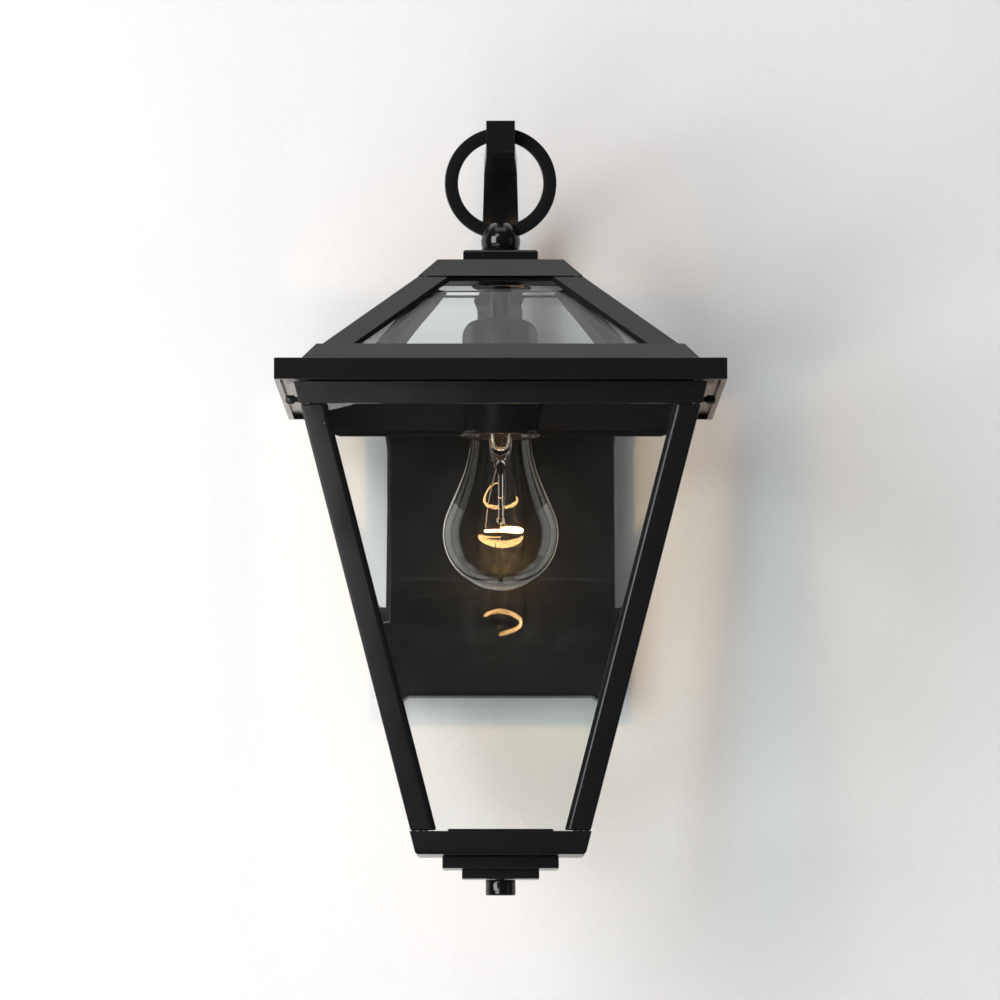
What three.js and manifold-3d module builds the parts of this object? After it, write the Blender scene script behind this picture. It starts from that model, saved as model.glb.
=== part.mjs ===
// Outdoor wall lantern: a tapered glass cage under a hipped glass roof, hung by a ring from a hooked arm.
// Millimetres, +Z up. The wall is the plane Y = 0, the lantern stands out along -Y and +X is to its right
// as someone faces the wall. The origin is the centre of the wall plate's back.
import * as THREE from "three";
import { mergeVertices } from "three/addons/utils/BufferGeometryUtils.js";
import { ConvexGeometry } from "three/addons/geometries/ConvexGeometry.js";
import Module from "manifold-3d";

const wasm = await Module();
wasm.setup();

// ---- Driving dimensions ----

const gap = 0.3; // between pieces that touch
const runningGap = 0.5; // round anything that moves

const plate = { width: 121, height: 184, depth: 25, wall: 2, edge: 2, gasket: 2 };
const crossbar = { height: 20, thick: 1.8, earDepth: 16, slotSpacing: 88.9, slotLength: 12, slotWidth: 5 };
const screw = { shankRadius: 2, headRadius: 3.8, headHeight: 2.4, pastEar: 3 };

const arm = {
  width: 24.8, // of the strap on the wall plate
  bendWidth: 17.8, // where the bar meets the bend
  tipWidth: 14.9,
  thick: 7,
  bottomZ: -52,
  bend: 55, // centreline radius of the swan bend
  straightTopZ: 92, // above this the strap narrows
  tipRise: 11.2, // of the hook's tip above the bar
  tipThick: 6,
  tipBend: 4,
  ringToTip: 3.5, // from the ring's face to the tip
  screwZ: [22, -35],
  wireway: { width: 9, depth: 4, front: 1.5, entryZ: 45, entryRadius: 3.4 },
};

const eave = { width: 229, height: 10.9, bottomZ: 56.8, ledge: 12.3, recess: 2.5, lip: 3, sheet: 2.5 };
const eaveToArm = 1.5; // from the eave's back edge to the arm
const roof = {
  rise: 49.4, // from the eave's top to the foot of the cap
  topHalf: 42.5,
  barWidth: 12.6, // lower sloping bar, up the slope
  barProud: 1.7, // its top edge above the hip bars
  hipWidth: 12.5, // each leaf of a hip bar
  hipThick: 2.5,
  glass: 3,
};
const cap = {
  topHalf: 32.6,
  height: 9.6,
  roofThick: 2.5, // of its flat top
  topWall: 1.5, // of its sloping sides, at the top
  footWall: 4.2,
  plateWidth: 39,
  plateHeight: 6.3,
  plateChamfer: 1,
};
const bridge = { thick: 2.4, foot: 40.2, topHalf: 38.0 };
const collar = { thick: 2, drop: 10.3, insideRim: 4, slotWidth: 4.6 };
const ball = { radius: 10.3, centreRise: 6.4, bridge: 1.8 };
const ring = { outerRadius: 29.3, band: 7, thick: 3 };

const pipe = { radius: 4.85, bore: 3.5, windowRadius: 2.6, intoBall: 4 };
const feed = { radius: 3.5, bore: 2.5, intoCap: 10.5 };
const wire = { radius: 0.8, spacing: 2, bend: 3 };
const wireNut = { length: 15, mouth: 4.2, tip: 2.6, inner: 1.5, side: 24 }; // its mouth, from the middle
const locknut = { acrossFlats: 22, height: 4 };

const socket = {
  radius: 19.85,
  height: 59.5,
  shoulder: 8,
  wall: 1.5,
  brim: 20.5,
  brimHeight: 1.6,
  stemDrop: 17.8, // of bare pipe between the bridge and the cup
  bodyRadius: 16.4,
  bodyHeight: 42,
  shellRadius: 13.6,
  shellWall: 0.7,
  shellHeight: 24,
  bodyBelowCup: 6, // room for the wires over the porcelain
};
const contact = { tip: 3, radius: 6, dish: 1, height: 1.3, aboveBulb: 3 }; // in the socket
const bulb = {
  radius: 30.2,
  neckRadius: 15.9,
  length: 87, // of the glass
  wall: 1,
  intoCup: 6.2,
  baseRadius: 13,
  baseHeight: 22,
  baseWall: 0.6,
  ballEnds: 0.36, // radians above the ball's middle, where the neck begins
  ballFlow: 14, // reach of the curve that leaves the ball
  neckFlow: 16, // reach of the curve that comes down from the neck
  neckInBase: 2,
};
const base = { crown: 2, topRadius: 9, innerStep: 3, edge: 1 }; // of the bulb, at its contact end
const insulator = { height: 2.5, sunk: 1.5, rise: 0.5, topRadius: 4 };
const bulbTip = { radius: 3.5, shoulder: 1, height: 1.6 };
const mount = {
  radius: 6, // of the glass foot in the neck
  height: 18,
  flare: 4,
  throat: 0.7, // of the foot's radius
  rodRadius: 1.6,
  rodAboveMiddle: 5, // of the round part of the glass
  button: 1.5, // of the rod's radius, at its end
  buttonHeight: 4,
};
const filament = {
  radius: 0.55,
  loopRadius: 11, // of the open ring
  loopAboveMiddle: 2.2, // of the round part of the glass
  loopStart: 2.4, // radians from the right, seen from above
  loopSweep: -3.97,
  loopSteps: 12,
  leadLength: 14, // beside the foot
  leadDrop: 3, // from the glass's top
  besideFoot: 1,
};

const rim = { inset: 12.4, belowSoffit: 2.6, height: 11, wall: 2.6 };
const cage = {
  height: 215.1, // from the rim's underside to the top of the base band
  footHalf: 46.75,
  bandHeight: 11.9,
  bandWall: 2.5,
  bandChamfer: 1.2,
  floor: 2.5,
  stileInset: 0.5, // behind the face of the rim and the band
  stileWidth: 11, // each leaf
  stileThick: 2.5,
  glass: 3.5,
};
const paneBevel = { width: 10, depth: 1.3 };
const retainer = { tabWidth: 54, wall: 1.5, floor: 1.2, aboveBand: 1.5, holeHalf: 24 };
const basePlate = { upperWidth: 60, upperHeight: 6.6, chamfer: 0.6, lowerWidth: 40, lowerHeight: 4.9 };
const finial = {
  radius: 7.8,
  height: 8.1,
  edge: 1,
  foot: 2, // of solid metal under the stud's hole
  studRadius: 2.5,
  studPastNut: 3,
  studNut: 10,
  studNutHeight: 4,
};
const thumbScrew = { shankRadius: 1.5, headRadius: 2.3, headLength: 4.6, neck: 1.2, back: -41, drop: 3.5 };

// ---- Places worked out from the dimensions ----

const eaveHalf = eave.width / 2;
const reach = plate.depth + gap + arm.thick + eaveToArm + eaveHalf; // wall to the lantern's axis
const eaveTopZ = eave.bottomZ + eave.height;
const soffitZ = eave.bottomZ + eave.recess;
const ringInnerRadius = ring.outerRadius - ring.band;

const roofSlope = slope([eaveHalf - eave.ledge, eaveTopZ], [roof.topHalf, eaveTopZ + roof.rise]);
const capFootZ = eaveTopZ + roof.rise + gap;
const capTopZ = capFootZ + cap.height;
const capPlateTopZ = capTopZ + gap + cap.plateHeight;
const ballZ = capPlateTopZ + ball.centreRise;
const ringZ = ballZ + ball.radius - ball.bridge + ringInnerRadius;
const seatHalf = (arm.bendWidth + arm.tipWidth) / 4; // half the bar's width under the ring
const barTopZ = ringZ + Math.sqrt(ringInnerRadius ** 2 - seatHalf ** 2) - gap;
const bridgeTopZ = capFootZ - gap;
const bridgeBottomZ = bridgeTopZ - bridge.thick;
const feedZ = capFootZ + feed.radius + 2 * gap;

const collarHalf = eaveHalf - rim.inset - collar.insideRim;
const collarTopZ = soffitZ + eave.sheet;
const collarBottomZ = soffitZ - collar.drop;
const rimTopZ = soffitZ - rim.belowSoffit;
const rimBottomZ = rimTopZ - rim.height;
const bandTopZ = rimBottomZ - cage.height;
const bandBottomZ = bandTopZ - cage.bandHeight;
const cageSlope = slope([cage.footHalf, bandTopZ], [eaveHalf - rim.inset, rimBottomZ]);
const floorTopZ = bandBottomZ + cage.floor;

const cupTopZ = bridgeBottomZ - socket.stemDrop;
const cupBottomZ = cupTopZ - socket.height;
const bulbTopZ = cupBottomZ + bulb.intoCup;
const bulbBottomZ = bulbTopZ - bulb.length;
const baseTopZ = bulbTopZ + bulb.baseHeight;

const upperPlateTopZ = bandBottomZ - gap;
const lowerPlateTopZ = upperPlateTopZ - basePlate.upperHeight - gap;
const knobTopZ = lowerPlateTopZ - basePlate.lowerHeight - gap;
const knobBottomZ = knobTopZ - finial.height;

// ---- Solids: joining and cutting ----

function solid(geometry) {
  const bare = geometry.clone();
  bare.deleteAttribute("normal");
  bare.deleteAttribute("uv");
  const merged = mergeVertices(bare, 1e-4);
  const mesh = new wasm.Mesh({
    numProp: 3,
    vertProperties: Float32Array.from(merged.attributes.position.array),
    triVerts: Uint32Array.from(merged.index.array),
  });
  return new wasm.Manifold(mesh);
}

function geometryOf(made) {
  const mesh = made.getMesh();
  const geometry = new THREE.BufferGeometry();
  geometry.setAttribute("position", new THREE.BufferAttribute(mesh.vertProperties, 3));
  geometry.setIndex(new THREE.BufferAttribute(mesh.triVerts, 1));
  return geometry;
}

function cut(body, ...tools) {
  return geometryOf(tools.reduce((left, tool) => left.subtract(solid(tool)), solid(body)));
}

function join(body, ...others) {
  return geometryOf(others.reduce((all, other) => all.add(solid(other)), solid(body)));
}

function common(body, tool) {
  return geometryOf(solid(body).intersect(solid(tool)));
}

// ---- Shapes ----

// A straight slope in the plane of half-width and height, with point(along it, outwards from it).
function slope(foot, top) {
  const run = new THREE.Vector2(top[0] - foot[0], top[1] - foot[1]);
  const length = run.length();
  const along = run.clone().divideScalar(length);
  const outward = new THREE.Vector2(along.y, -along.x);
  const point = (distance, offset) => [
    foot[0] + along.x * distance + outward.x * offset,
    foot[1] + along.y * distance + outward.y * offset,
  ];
  const atHeight = (z, offset) => {
    const distance = (z - foot[1] - outward.y * offset) / along.y;
    return point(distance, offset);
  };
  return { length, along, outward, point, atHeight };
}

// A body turned about Z from a profile of [radius, z] pairs, closed on itself or on the axis.
function turned(profile, segments) {
  const points = profile.map(([radius, z]) => new THREE.Vector2(radius, z));
  if (THREE.ShapeUtils.area(points) < 0) points.reverse();
  if (points.every((p) => p.x > 0)) points.push(points[0].clone());
  return new THREE.LatheGeometry(points, segments).rotateX(Math.PI / 2);
}

// A mitred square body or square ring from a profile of [half-width, z] pairs.
function square(profile) {
  const corners = profile.map(([half, z]) => [half * Math.SQRT2, z]);
  return turned(corners, 4).rotateZ(Math.PI / 4);
}

function box(x, y, z) {
  const size = [x, y, z].map(([low, high]) => high - low);
  const middle = [x, y, z].map(([low, high]) => (low + high) / 2);
  return new THREE.BoxGeometry(...size).translate(...middle);
}

function rod(radius, z, segments = 20) {
  return turned([[0, z[0]], [radius, z[0]], [radius, z[1]], [0, z[1]]], segments);
}

// A rod along Y, from y[0] to y[1], at x and z.
function rodAlongY(radius, y, x, z, segments = 20) {
  return rod(radius, y, segments).rotateX(-Math.PI / 2).translate(x, 0, z);
}

function rodAlongX(radius, x, y, z, segments = 20) {
  return rod(radius, x, segments).rotateY(Math.PI / 2).translate(0, y, z);
}

function hexagon(acrossFlats, z) {
  return rod(acrossFlats / Math.sqrt(3), z, 6);
}

// A shape drawn in Y and Z, with its thickness along X and centred on X = 0.
function sideways(shape, width) {
  const geometry = new THREE.ExtrudeGeometry(shape, { depth: width, bevelEnabled: false, curveSegments: 16 });
  const turn = new THREE.Matrix4().makeBasis(
    new THREE.Vector3(0, 1, 0),
    new THREE.Vector3(0, 0, 1),
    new THREE.Vector3(1, 0, 0),
  );
  return geometry.applyMatrix4(turn).translate(-width / 2, 0, 0);
}

function polygon(outline) {
  return new THREE.Shape(outline.map((p) => new THREE.Vector2(...p)));
}

// A shape drawn in X and Z with its thickness along Y, from y[0] to y[1].
function frontways(shape, y) {
  const depth = y[1] - y[0];
  const geometry = new THREE.ExtrudeGeometry(shape, { depth, bevelEnabled: false, curveSegments: 24 });
  return geometry.rotateX(Math.PI / 2).translate(0, y[1], 0);
}

// A wire along straight runs between points, with rounded corners.
function wireAlong(points, radius, bend, steps, sides = 8) {
  const route = new THREE.CurvePath();
  let from = points[0];
  for (let i = 1; i < points.length; i += 1) {
    const corner = points[i];
    const next = points[i + 1];
    if (!next) {
      route.add(new THREE.LineCurve3(from, corner));
      break;
    }
    const into = corner.clone().add(from.clone().sub(corner).setLength(bend));
    const out = corner.clone().add(next.clone().sub(corner).setLength(bend));
    route.add(new THREE.LineCurve3(from, into));
    route.add(new THREE.QuadraticBezierCurve3(into, corner, out));
    from = out;
  }
  return tubeAlong(route, radius, steps, sides);
}

function tubeAlong(route, radius, steps, sides) {
  const section = new THREE.Shape();
  section.absarc(0, 0, radius, 0, 2 * Math.PI);
  return new THREE.ExtrudeGeometry(section, { steps, extrudePath: route, curveSegments: sides / 2 });
}

// One side's pane: a trapezium with a flat bevel round its outer face, laid on the front slope.
function bevelledPane(face, low, high, offset, thick) {
  const innerHalf = (distance) => face.point(distance, offset - thick)[0] - gap;
  const lowHalf = innerHalf(low);
  const highHalf = innerHalf(high);
  const length = high - low;
  const lean = (highHalf - lowHalf) / length;
  const sideInset = paneBevel.width * Math.hypot(1, lean);
  const halfAt = (y) => lowHalf + lean * y;
  const outline = [[lowHalf, 0], [highHalf, length]];
  const inset = [paneBevel.width, length - paneBevel.width].map((y) => [halfAt(y) - sideInset, y]);
  const corners = [];
  const addLevel = (pairs, z) => {
    for (const [half, y] of pairs) {
      corners.push(new THREE.Vector3(-half, y, z), new THREE.Vector3(half, y, z));
    }
  };
  addLevel(outline, 0);
  addLevel(outline, thick - paneBevel.depth);
  addLevel(inset, thick);
  const [footHalf, footZ] = face.point(low, offset - thick);
  const place = new THREE.Matrix4().makeBasis(
    new THREE.Vector3(1, 0, 0),
    new THREE.Vector3(0, -face.along.x, face.along.y),
    new THREE.Vector3(0, -face.outward.x, face.outward.y),
  );
  place.setPosition(0, -footHalf, footZ);
  return new ConvexGeometry(corners).applyMatrix4(place);
}

// The corner bar at front right: two mitred leaves that lie on neighbouring slopes.
function cornerBar(face, profile, leafWidth) {
  const shell = square(profile);
  const faceAngle = Math.atan2(face.length, Math.abs(face.point(face.length, 0)[0] - face.point(0, 0)[0]));
  const planWidth = (leafWidth / Math.sin(faceAngle)) * Math.SQRT1_2;
  const far = 2 * eave.width;
  const band = box([0, far], [-planWidth, planWidth], [-far, far]).rotateZ(-Math.PI / 4);
  return common(shell, band);
}

// ---- Wall plate and what it hides ----

function wallPlate() {
  const [w, h] = [plate.width / 2, plate.height / 2];
  const back = -plate.gasket - gap;
  const wallY = -plate.depth;
  const levels = [
    [w, h, back],
    [w, h, wallY + plate.edge],
    [w - plate.edge, h - plate.edge, wallY],
  ];
  const corners = levels.flatMap(([x, z, y]) =>
    [[-1, -1], [1, -1], [1, 1], [-1, 1]].map(([sx, sz]) => new THREE.Vector3(sx * x, y, sz * z)),
  );
  const hollow = box(
    [-w + plate.wall, w - plate.wall],
    [wallY + plate.wall, 1],
    [-h + plate.wall, h - plate.wall],
  );
  const throughFace = [wallY - 1, wallY + plate.wall + 1];
  const screwHoles = arm.screwZ.map((z) => rodAlongY(screw.shankRadius + gap, throughFace, 0, z));
  const entry = rodAlongY(arm.wireway.entryRadius, throughFace, 0, arm.wireway.entryZ);
  const sideHoles = [-1, 1].map((side) => plateScrew(side, gap));
  return cut(new ConvexGeometry(corners), hollow, entry, ...sideHoles, ...screwHoles);
}

function plateScrewY() {
  return -crossbar.earDepth / 2 - crossbar.thick;
}

function wallGasket() {
  const [w, h] = [plate.width / 2, plate.height / 2];
  const outer = box([-w, w], [-plate.gasket, 0], [-h, h]);
  const inner = box(
    [-w + plate.wall, w - plate.wall],
    [-plate.gasket - 1, 1],
    [-h + plate.wall, h - plate.wall],
  );
  return cut(outer, inner);
}

function mountingBar() {
  const half = plate.width / 2 - plate.wall - gap;
  const z = [-crossbar.height / 2, crossbar.height / 2];
  const web = box([-half, half], [-crossbar.thick, 0], z);
  const ears = [-1, 1].map((side) => {
    const x = [side * half, side * (half - crossbar.thick)].sort((a, b) => a - b);
    return box(x, [-crossbar.earDepth, -crossbar.thick / 2], z);
  });
  const slots = [-1, 1].map((side) => {
    const centre = (side * crossbar.slotSpacing) / 2;
    const x = [centre - crossbar.slotLength / 2, centre + crossbar.slotLength / 2];
    return box(x, [-crossbar.thick - 1, 1], [-crossbar.slotWidth / 2, crossbar.slotWidth / 2]);
  });
  const holes = rodAlongX(screw.shankRadius + gap, [-half - 1, half + 1], plateScrewY(), 0);
  const groundHole = rodAlongY(screw.shankRadius + gap, [-crossbar.thick - 1, 1], groundScrewX(), 0);
  return cut(join(web, ...ears), ...slots, holes, groundHole);
}

function groundScrewX() {
  return crossbar.slotSpacing / 4;
}

// A countersunk screw along X, flush with the plate's given side. The clearance makes it into its own hole.
function plateScrew(side, clearance = 0) {
  const outside = plate.width / 2 + clearance;
  const inside = plate.width / 2 - plate.wall - crossbar.thick - screw.pastEar;
  const headFoot = plate.width / 2 - plate.wall + gap;
  const profile = [
    [0, inside],
    [screw.shankRadius + clearance, inside],
    [screw.shankRadius + clearance, headFoot],
    [screw.headRadius + clearance, outside],
    [0, outside],
  ];
  return turned(profile, 16).rotateY((side * Math.PI) / 2).translate(0, plateScrewY(), 0);
}

// A screw along Y with its head towards the wall, from its tip at y to the head's seat.
function screwAlongY(tipY, seatY, x, z, head) {
  const body = rodAlongY(screw.shankRadius, [tipY, seatY + 0.5], x, z, 16);
  return join(body, head.rotateX(-Math.PI / 2).translate(x, 0, z));
}

function armScrew(z) {
  const seat = -plate.depth + plate.wall + gap;
  const head = rod(screw.headRadius, [seat, seat + screw.headHeight], 16);
  const tip = -plate.depth - gap - arm.thick + arm.wireway.front + gap;
  return screwAlongY(tip, seat, 0, z, head);
}

function groundScrew() {
  const seat = -crossbar.thick - gap;
  const head = hexagon(2 * screw.headRadius, [seat - screw.headHeight, seat]);
  return join(
    rodAlongY(screw.shankRadius, [seat - 1, 0 - gap], groundScrewX(), 0, 16),
    head.rotateX(-Math.PI / 2).translate(groundScrewX(), 0, 0),
  );
}

// ---- Hooked arm ----

function armOutline() {
  const back = -plate.depth - gap;
  const front = back - arm.thick;
  const outer = arm.bend + arm.thick / 2;
  const inner = arm.bend - arm.thick / 2;
  const centre = [back - outer, barTopZ - outer];
  const tipBack = -reach - ring.thick / 2 - arm.ringToTip;
  const tipFront = tipBack - arm.tipThick;
  const barBottomZ = barTopZ - arm.thick;
  const outline = new THREE.Shape();
  outline.moveTo(back, arm.bottomZ);
  outline.lineTo(back, centre[1]);
  outline.absarc(centre[0], centre[1], outer, 0, Math.PI / 2, false);
  outline.lineTo(tipBack + 1, barTopZ);
  outline.quadraticCurveTo(tipBack, barTopZ, tipBack, barTopZ + 1);
  outline.lineTo(tipBack, barTopZ + arm.tipRise);
  outline.lineTo(tipFront, barTopZ + arm.tipRise);
  outline.lineTo(tipFront, barBottomZ + arm.tipBend);
  outline.quadraticCurveTo(tipFront, barBottomZ, tipFront + arm.tipBend, barBottomZ);
  outline.lineTo(centre[0], barBottomZ);
  outline.absarc(centre[0], centre[1], inner, Math.PI / 2, 0, true);
  outline.lineTo(front, arm.bottomZ);
  outline.closePath();
  return { outline, centre, tipFront, front, back };
}

function hookArm() {
  const { outline, centre, tipFront, front, back } = armOutline();
  const strap = sideways(outline, arm.width);
  const [wide, bendHalf, narrow] = [arm.width / 2, arm.bendWidth / 2, arm.tipWidth / 2];
  const topZ = barTopZ + arm.tipRise + 1;
  // Seen from the front the strap narrows from the top of the plate to the bar.
  const seenFromFront = frontways(
    polygon([
      [-wide, arm.bottomZ - 1],
      [wide, arm.bottomZ - 1],
      [wide, arm.straightTopZ],
      [bendHalf, barTopZ - arm.thick],
      [bendHalf, topZ],
      [-bendHalf, topZ],
      [-bendHalf, barTopZ - arm.thick],
      [-wide, arm.straightTopZ],
    ]),
    [tipFront - 1, 1],
  );
  // Seen from above it narrows again along the bar to the tip.
  const seenFromAbove = new THREE.ExtrudeGeometry(
    polygon([
      [narrow, tipFront - 1], [bendHalf, centre[0]], [wide, front], [wide, 1],
      [-wide, 1], [-wide, front], [-bendHalf, centre[0]], [-narrow, tipFront - 1],
    ]),
    { depth: topZ - arm.bottomZ + 2, bevelEnabled: false },
  ).translate(0, 0, arm.bottomZ - 1);
  const shaped = common(common(strap, seenFromFront), seenFromAbove);
  const way = arm.wireway;
  const wayFront = front + way.front;
  const wireway = box(
    [-way.width / 2, way.width / 2],
    [wayFront, wayFront + way.depth],
    [way.entryZ - way.entryRadius, feedZ + feed.radius],
  );
  const entry = rodAlongY(way.entryRadius, [wayFront + 1, back + 1], 0, way.entryZ);
  const feedHole = rodAlongY(feed.radius + gap, [front - 1, wayFront + 1], 0, feedZ);
  const screwHoles = arm.screwZ.map((z) => rodAlongY(screw.shankRadius + gap, [wayFront, back + 1], 0, z));
  return cut(shaped, wireway, entry, feedHole, ...screwHoles);
}

function feedTube() {
  const armFront = -plate.depth - gap - arm.thick;
  const y = [-reach + roof.topHalf - feed.intoCap, armFront + arm.wireway.front - gap / 2];
  return turned(
    [[feed.bore, y[0]], [feed.radius, y[0]], [feed.radius, y[1]], [feed.bore, y[1]]],
    20,
  ).rotateX(-Math.PI / 2).translate(0, 0, feedZ);
}

// ---- Wires ----

function supplyLead(side) {
  const x = (side * wire.spacing) / 2;
  const wayY = -plate.depth - gap - arm.thick + arm.wireway.front + arm.wireway.depth / 2;
  const at = (y, z) => new THREE.Vector3(x, y, z);
  const points = [
    at(-reach, cupTopZ - socket.wall - 2),
    at(-reach, feedZ),
    at(wayY, feedZ),
    at(wayY, arm.wireway.entryZ),
    at(-plate.depth / 2, arm.wireway.entryZ),
    new THREE.Vector3(side * wireNut.side, -plate.depth / 2, arm.wireway.entryZ),
  ];
  return wireAlong(points, wire.radius, wire.bend, 80);
}

function wireConnector(side) {
  const { length, mouth, tip, inner } = wireNut;
  const depth = length / 2;
  const profile = [[0, depth], [inner, depth], [inner, 0], [mouth, 0], [tip, length], [0, length]];
  return turned(profile, 12)
    .rotateY((side * Math.PI) / 2)
    .translate(side * (wireNut.side - depth + 2 * gap), -plate.depth / 2, arm.wireway.entryZ);
}

function groundLead() {
  const x = groundScrewX() + screw.headRadius + wire.radius + 2 * gap;
  const y = -crossbar.thick - screw.headHeight;
  const bendZ = crossbar.height / 2 + 4;
  const points = [
    new THREE.Vector3(x, y, -crossbar.height / 2),
    new THREE.Vector3(x, y, bendZ),
    new THREE.Vector3(x, -plate.depth / 2, bendZ),
    new THREE.Vector3(-x, -plate.depth / 2, bendZ),
  ];
  return wireAlong(points, wire.radius, wire.bend, 40);
}

// ---- Roof (about the lantern's own axis) ----

function roofSkirt() {
  const barFace = [...roofSlope.point(roof.barWidth, roof.barProud)];
  const barBack = roofSlope.point(roof.barWidth, -roof.hipThick);
  const inner = collarHalf + gap;
  return square([
    [eaveHalf, eave.bottomZ],
    [eaveHalf, eaveTopZ],
    roofSlope.point(0, 0),
    barFace,
    barBack,
    roofSlope.atHeight(eaveTopZ - eave.sheet, -roof.hipThick),
    [eaveHalf - eave.sheet, eaveTopZ - eave.sheet],
    [eaveHalf - eave.sheet, soffitZ + eave.sheet],
    [inner, soffitZ + eave.sheet],
    [inner, soffitZ],
    [eaveHalf - eave.lip, soffitZ],
    [eaveHalf - eave.lip, eave.bottomZ],
  ]);
}

function hipBar() {
  const [low, high] = [roof.barWidth + gap, roofSlope.length - gap];
  const profile = [
    roofSlope.point(low, 0),
    roofSlope.point(high, 0),
    roofSlope.point(high, -roof.hipThick),
    roofSlope.point(low, -roof.hipThick),
  ];
  return cornerBar(roofSlope, profile, roof.hipWidth);
}

function roofPane() {
  return bevelledPane(roofSlope, 1, roofSlope.length - 2, -roof.hipThick - gap, roof.glass);
}

function roofCap() {
  const body = square([
    [0, capTopZ],
    [cap.topHalf, capTopZ],
    [roof.topHalf, capFootZ],
    [roof.topHalf - cap.footWall, capFootZ],
    [cap.topHalf - cap.topWall, capTopZ - cap.roofThick],
    [0, capTopZ - cap.roofThick],
  ]);
  const pipeHole = rod(pipe.radius + gap, [capFootZ, capTopZ + 1]);
  const feedY = [roof.topHalf - feed.intoCap - 1, roof.topHalf + 1];
  const feedHole = rodAlongY(feed.radius + gap, feedY, 0, feedZ);
  return cut(body, pipeHole, feedHole);
}

function capPlate() {
  const half = cap.plateWidth / 2;
  const z = capTopZ + gap;
  const body = square([
    [0, z],
    [half, z],
    [half, capPlateTopZ - cap.plateChamfer],
    [half - cap.plateChamfer, capPlateTopZ],
    [0, capPlateTopZ],
  ]);
  return cut(body, rod(pipe.radius + gap, [z - 1, capPlateTopZ + 1]));
}

function capBridge() {
  const body = square([
    [0, bridgeBottomZ],
    [bridge.foot, bridgeBottomZ],
    [bridge.topHalf, bridgeTopZ],
    [0, bridgeTopZ],
  ]);
  return cut(body, rod(pipe.radius + gap, [bridgeBottomZ - 1, bridgeTopZ + 1]));
}

function roofCollar() {
  const body = square([
    [collarHalf, collarBottomZ],
    [collarHalf, collarTopZ],
    [collarHalf - collar.thick, collarTopZ],
    [collarHalf - collar.thick, collarBottomZ],
  ]);
  const half = collar.slotWidth / 2;
  const slot = box(
    [-eaveHalf, eaveHalf],
    [thumbScrew.back - half, thumbScrew.back + half],
    [collarBottomZ - 1, thumbScrewZ() + half],
  );
  return cut(body, slot);
}

function hangingBall() {
  const flatZ = capPlateTopZ + gap;
  const points = [[0, flatZ]];
  const startAngle = Math.asin((flatZ - ballZ) / ball.radius);
  const steps = 14;
  for (let i = 0; i <= steps; i += 1) {
    const angle = startAngle + ((Math.PI / 2 - startAngle) * i) / steps;
    points.push([i === steps ? 0 : ball.radius * Math.cos(angle), ballZ + ball.radius * Math.sin(angle)]);
  }
  const body = turned(points, 28);
  const pipeHole = rod(pipe.radius + gap, [flatZ - 1, flatZ + pipe.intoBall]);
  const slotHalf = ring.thick / 2 + runningGap;
  const ringSlot = frontways(
    ringShape(ring.outerRadius + runningGap, ringInnerRadius - runningGap),
    [-slotHalf, slotHalf],
  ).translate(0, 0, ringZ);
  return cut(body, pipeHole, ringSlot);
}

function ringShape(outer, inner) {
  const shape = new THREE.Shape();
  shape.absarc(0, 0, outer, 0, 2 * Math.PI);
  const hole = new THREE.Path();
  hole.absarc(0, 0, inner, 0, 2 * Math.PI);
  shape.holes.push(hole);
  return shape;
}

function hangingRing() {
  const half = ring.thick / 2;
  return frontways(ringShape(ring.outerRadius, ringInnerRadius), [-half, half]).translate(0, 0, ringZ);
}

// ---- Stem, socket and bulb ----

function stemPipe() {
  const z = [cupTopZ - socket.wall - 1, capPlateTopZ + pipe.intoBall - gap];
  const tube = turned([[pipe.bore, z[0]], [pipe.radius, z[0]], [pipe.radius, z[1]], [pipe.bore, z[1]]], 20);
  return cut(tube, rodAlongY(pipe.windowRadius, [0, pipe.radius + 1], 0, feedZ));
}

function stemLocknut() {
  const z = [bridgeBottomZ - gap - locknut.height, bridgeBottomZ - gap];
  return cut(hexagon(locknut.acrossFlats, z), rod(pipe.radius + gap, [z[0] - 1, z[1] + 1]));
}

function socketCup() {
  const { radius, shoulder, wall, brim, brimHeight } = socket;
  const arcPoints = (r, centreR, centreZ) =>
    [0, 1, 2, 3, 4].map((i) => {
      const angle = (i * Math.PI) / 8;
      return [centreR + r * Math.cos(angle), centreZ + r * Math.sin(angle)];
    });
  const hole = pipe.radius + gap;
  const centreR = radius - shoulder;
  const centreZ = cupTopZ - shoulder;
  return turned(
    [
      [radius - wall, cupBottomZ],
      [brim, cupBottomZ],
      [brim, cupBottomZ + brimHeight],
      [radius, cupBottomZ + 2 * brimHeight],
      ...arcPoints(shoulder, centreR, centreZ),
      [hole, cupTopZ],
      [hole, cupTopZ - wall],
      ...arcPoints(shoulder - wall, centreR, centreZ).reverse(),
    ],
    28,
  );
}

const socketBodyTopZ = cupTopZ - socket.wall - socket.bodyBelowCup;
const socketBodyBottomZ = socketBodyTopZ - socket.bodyHeight;
const contactZ = baseTopZ + insulator.height + contact.aboveBulb;

function socketBody() {
  const { bodyRadius, shellRadius, shellWall } = socket;
  const bore = shellRadius + shellWall + gap;
  return turned(
    [
      [0, contactZ + contact.height + gap],
      [bore, contactZ + contact.height + gap],
      [bore, socketBodyBottomZ],
      [bodyRadius, socketBodyBottomZ],
      [bodyRadius, socketBodyTopZ],
      [0, socketBodyTopZ],
    ],
    24,
  );
}

function socketShell() {
  const { shellRadius, shellWall, shellHeight } = socket;
  const z = [contactZ - shellHeight - 1, contactZ - 1];
  const outer = shellRadius + shellWall;
  return turned([[shellRadius, z[0]], [outer, z[0]], [outer, z[1]], [shellRadius, z[1]]], 24);
}

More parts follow.
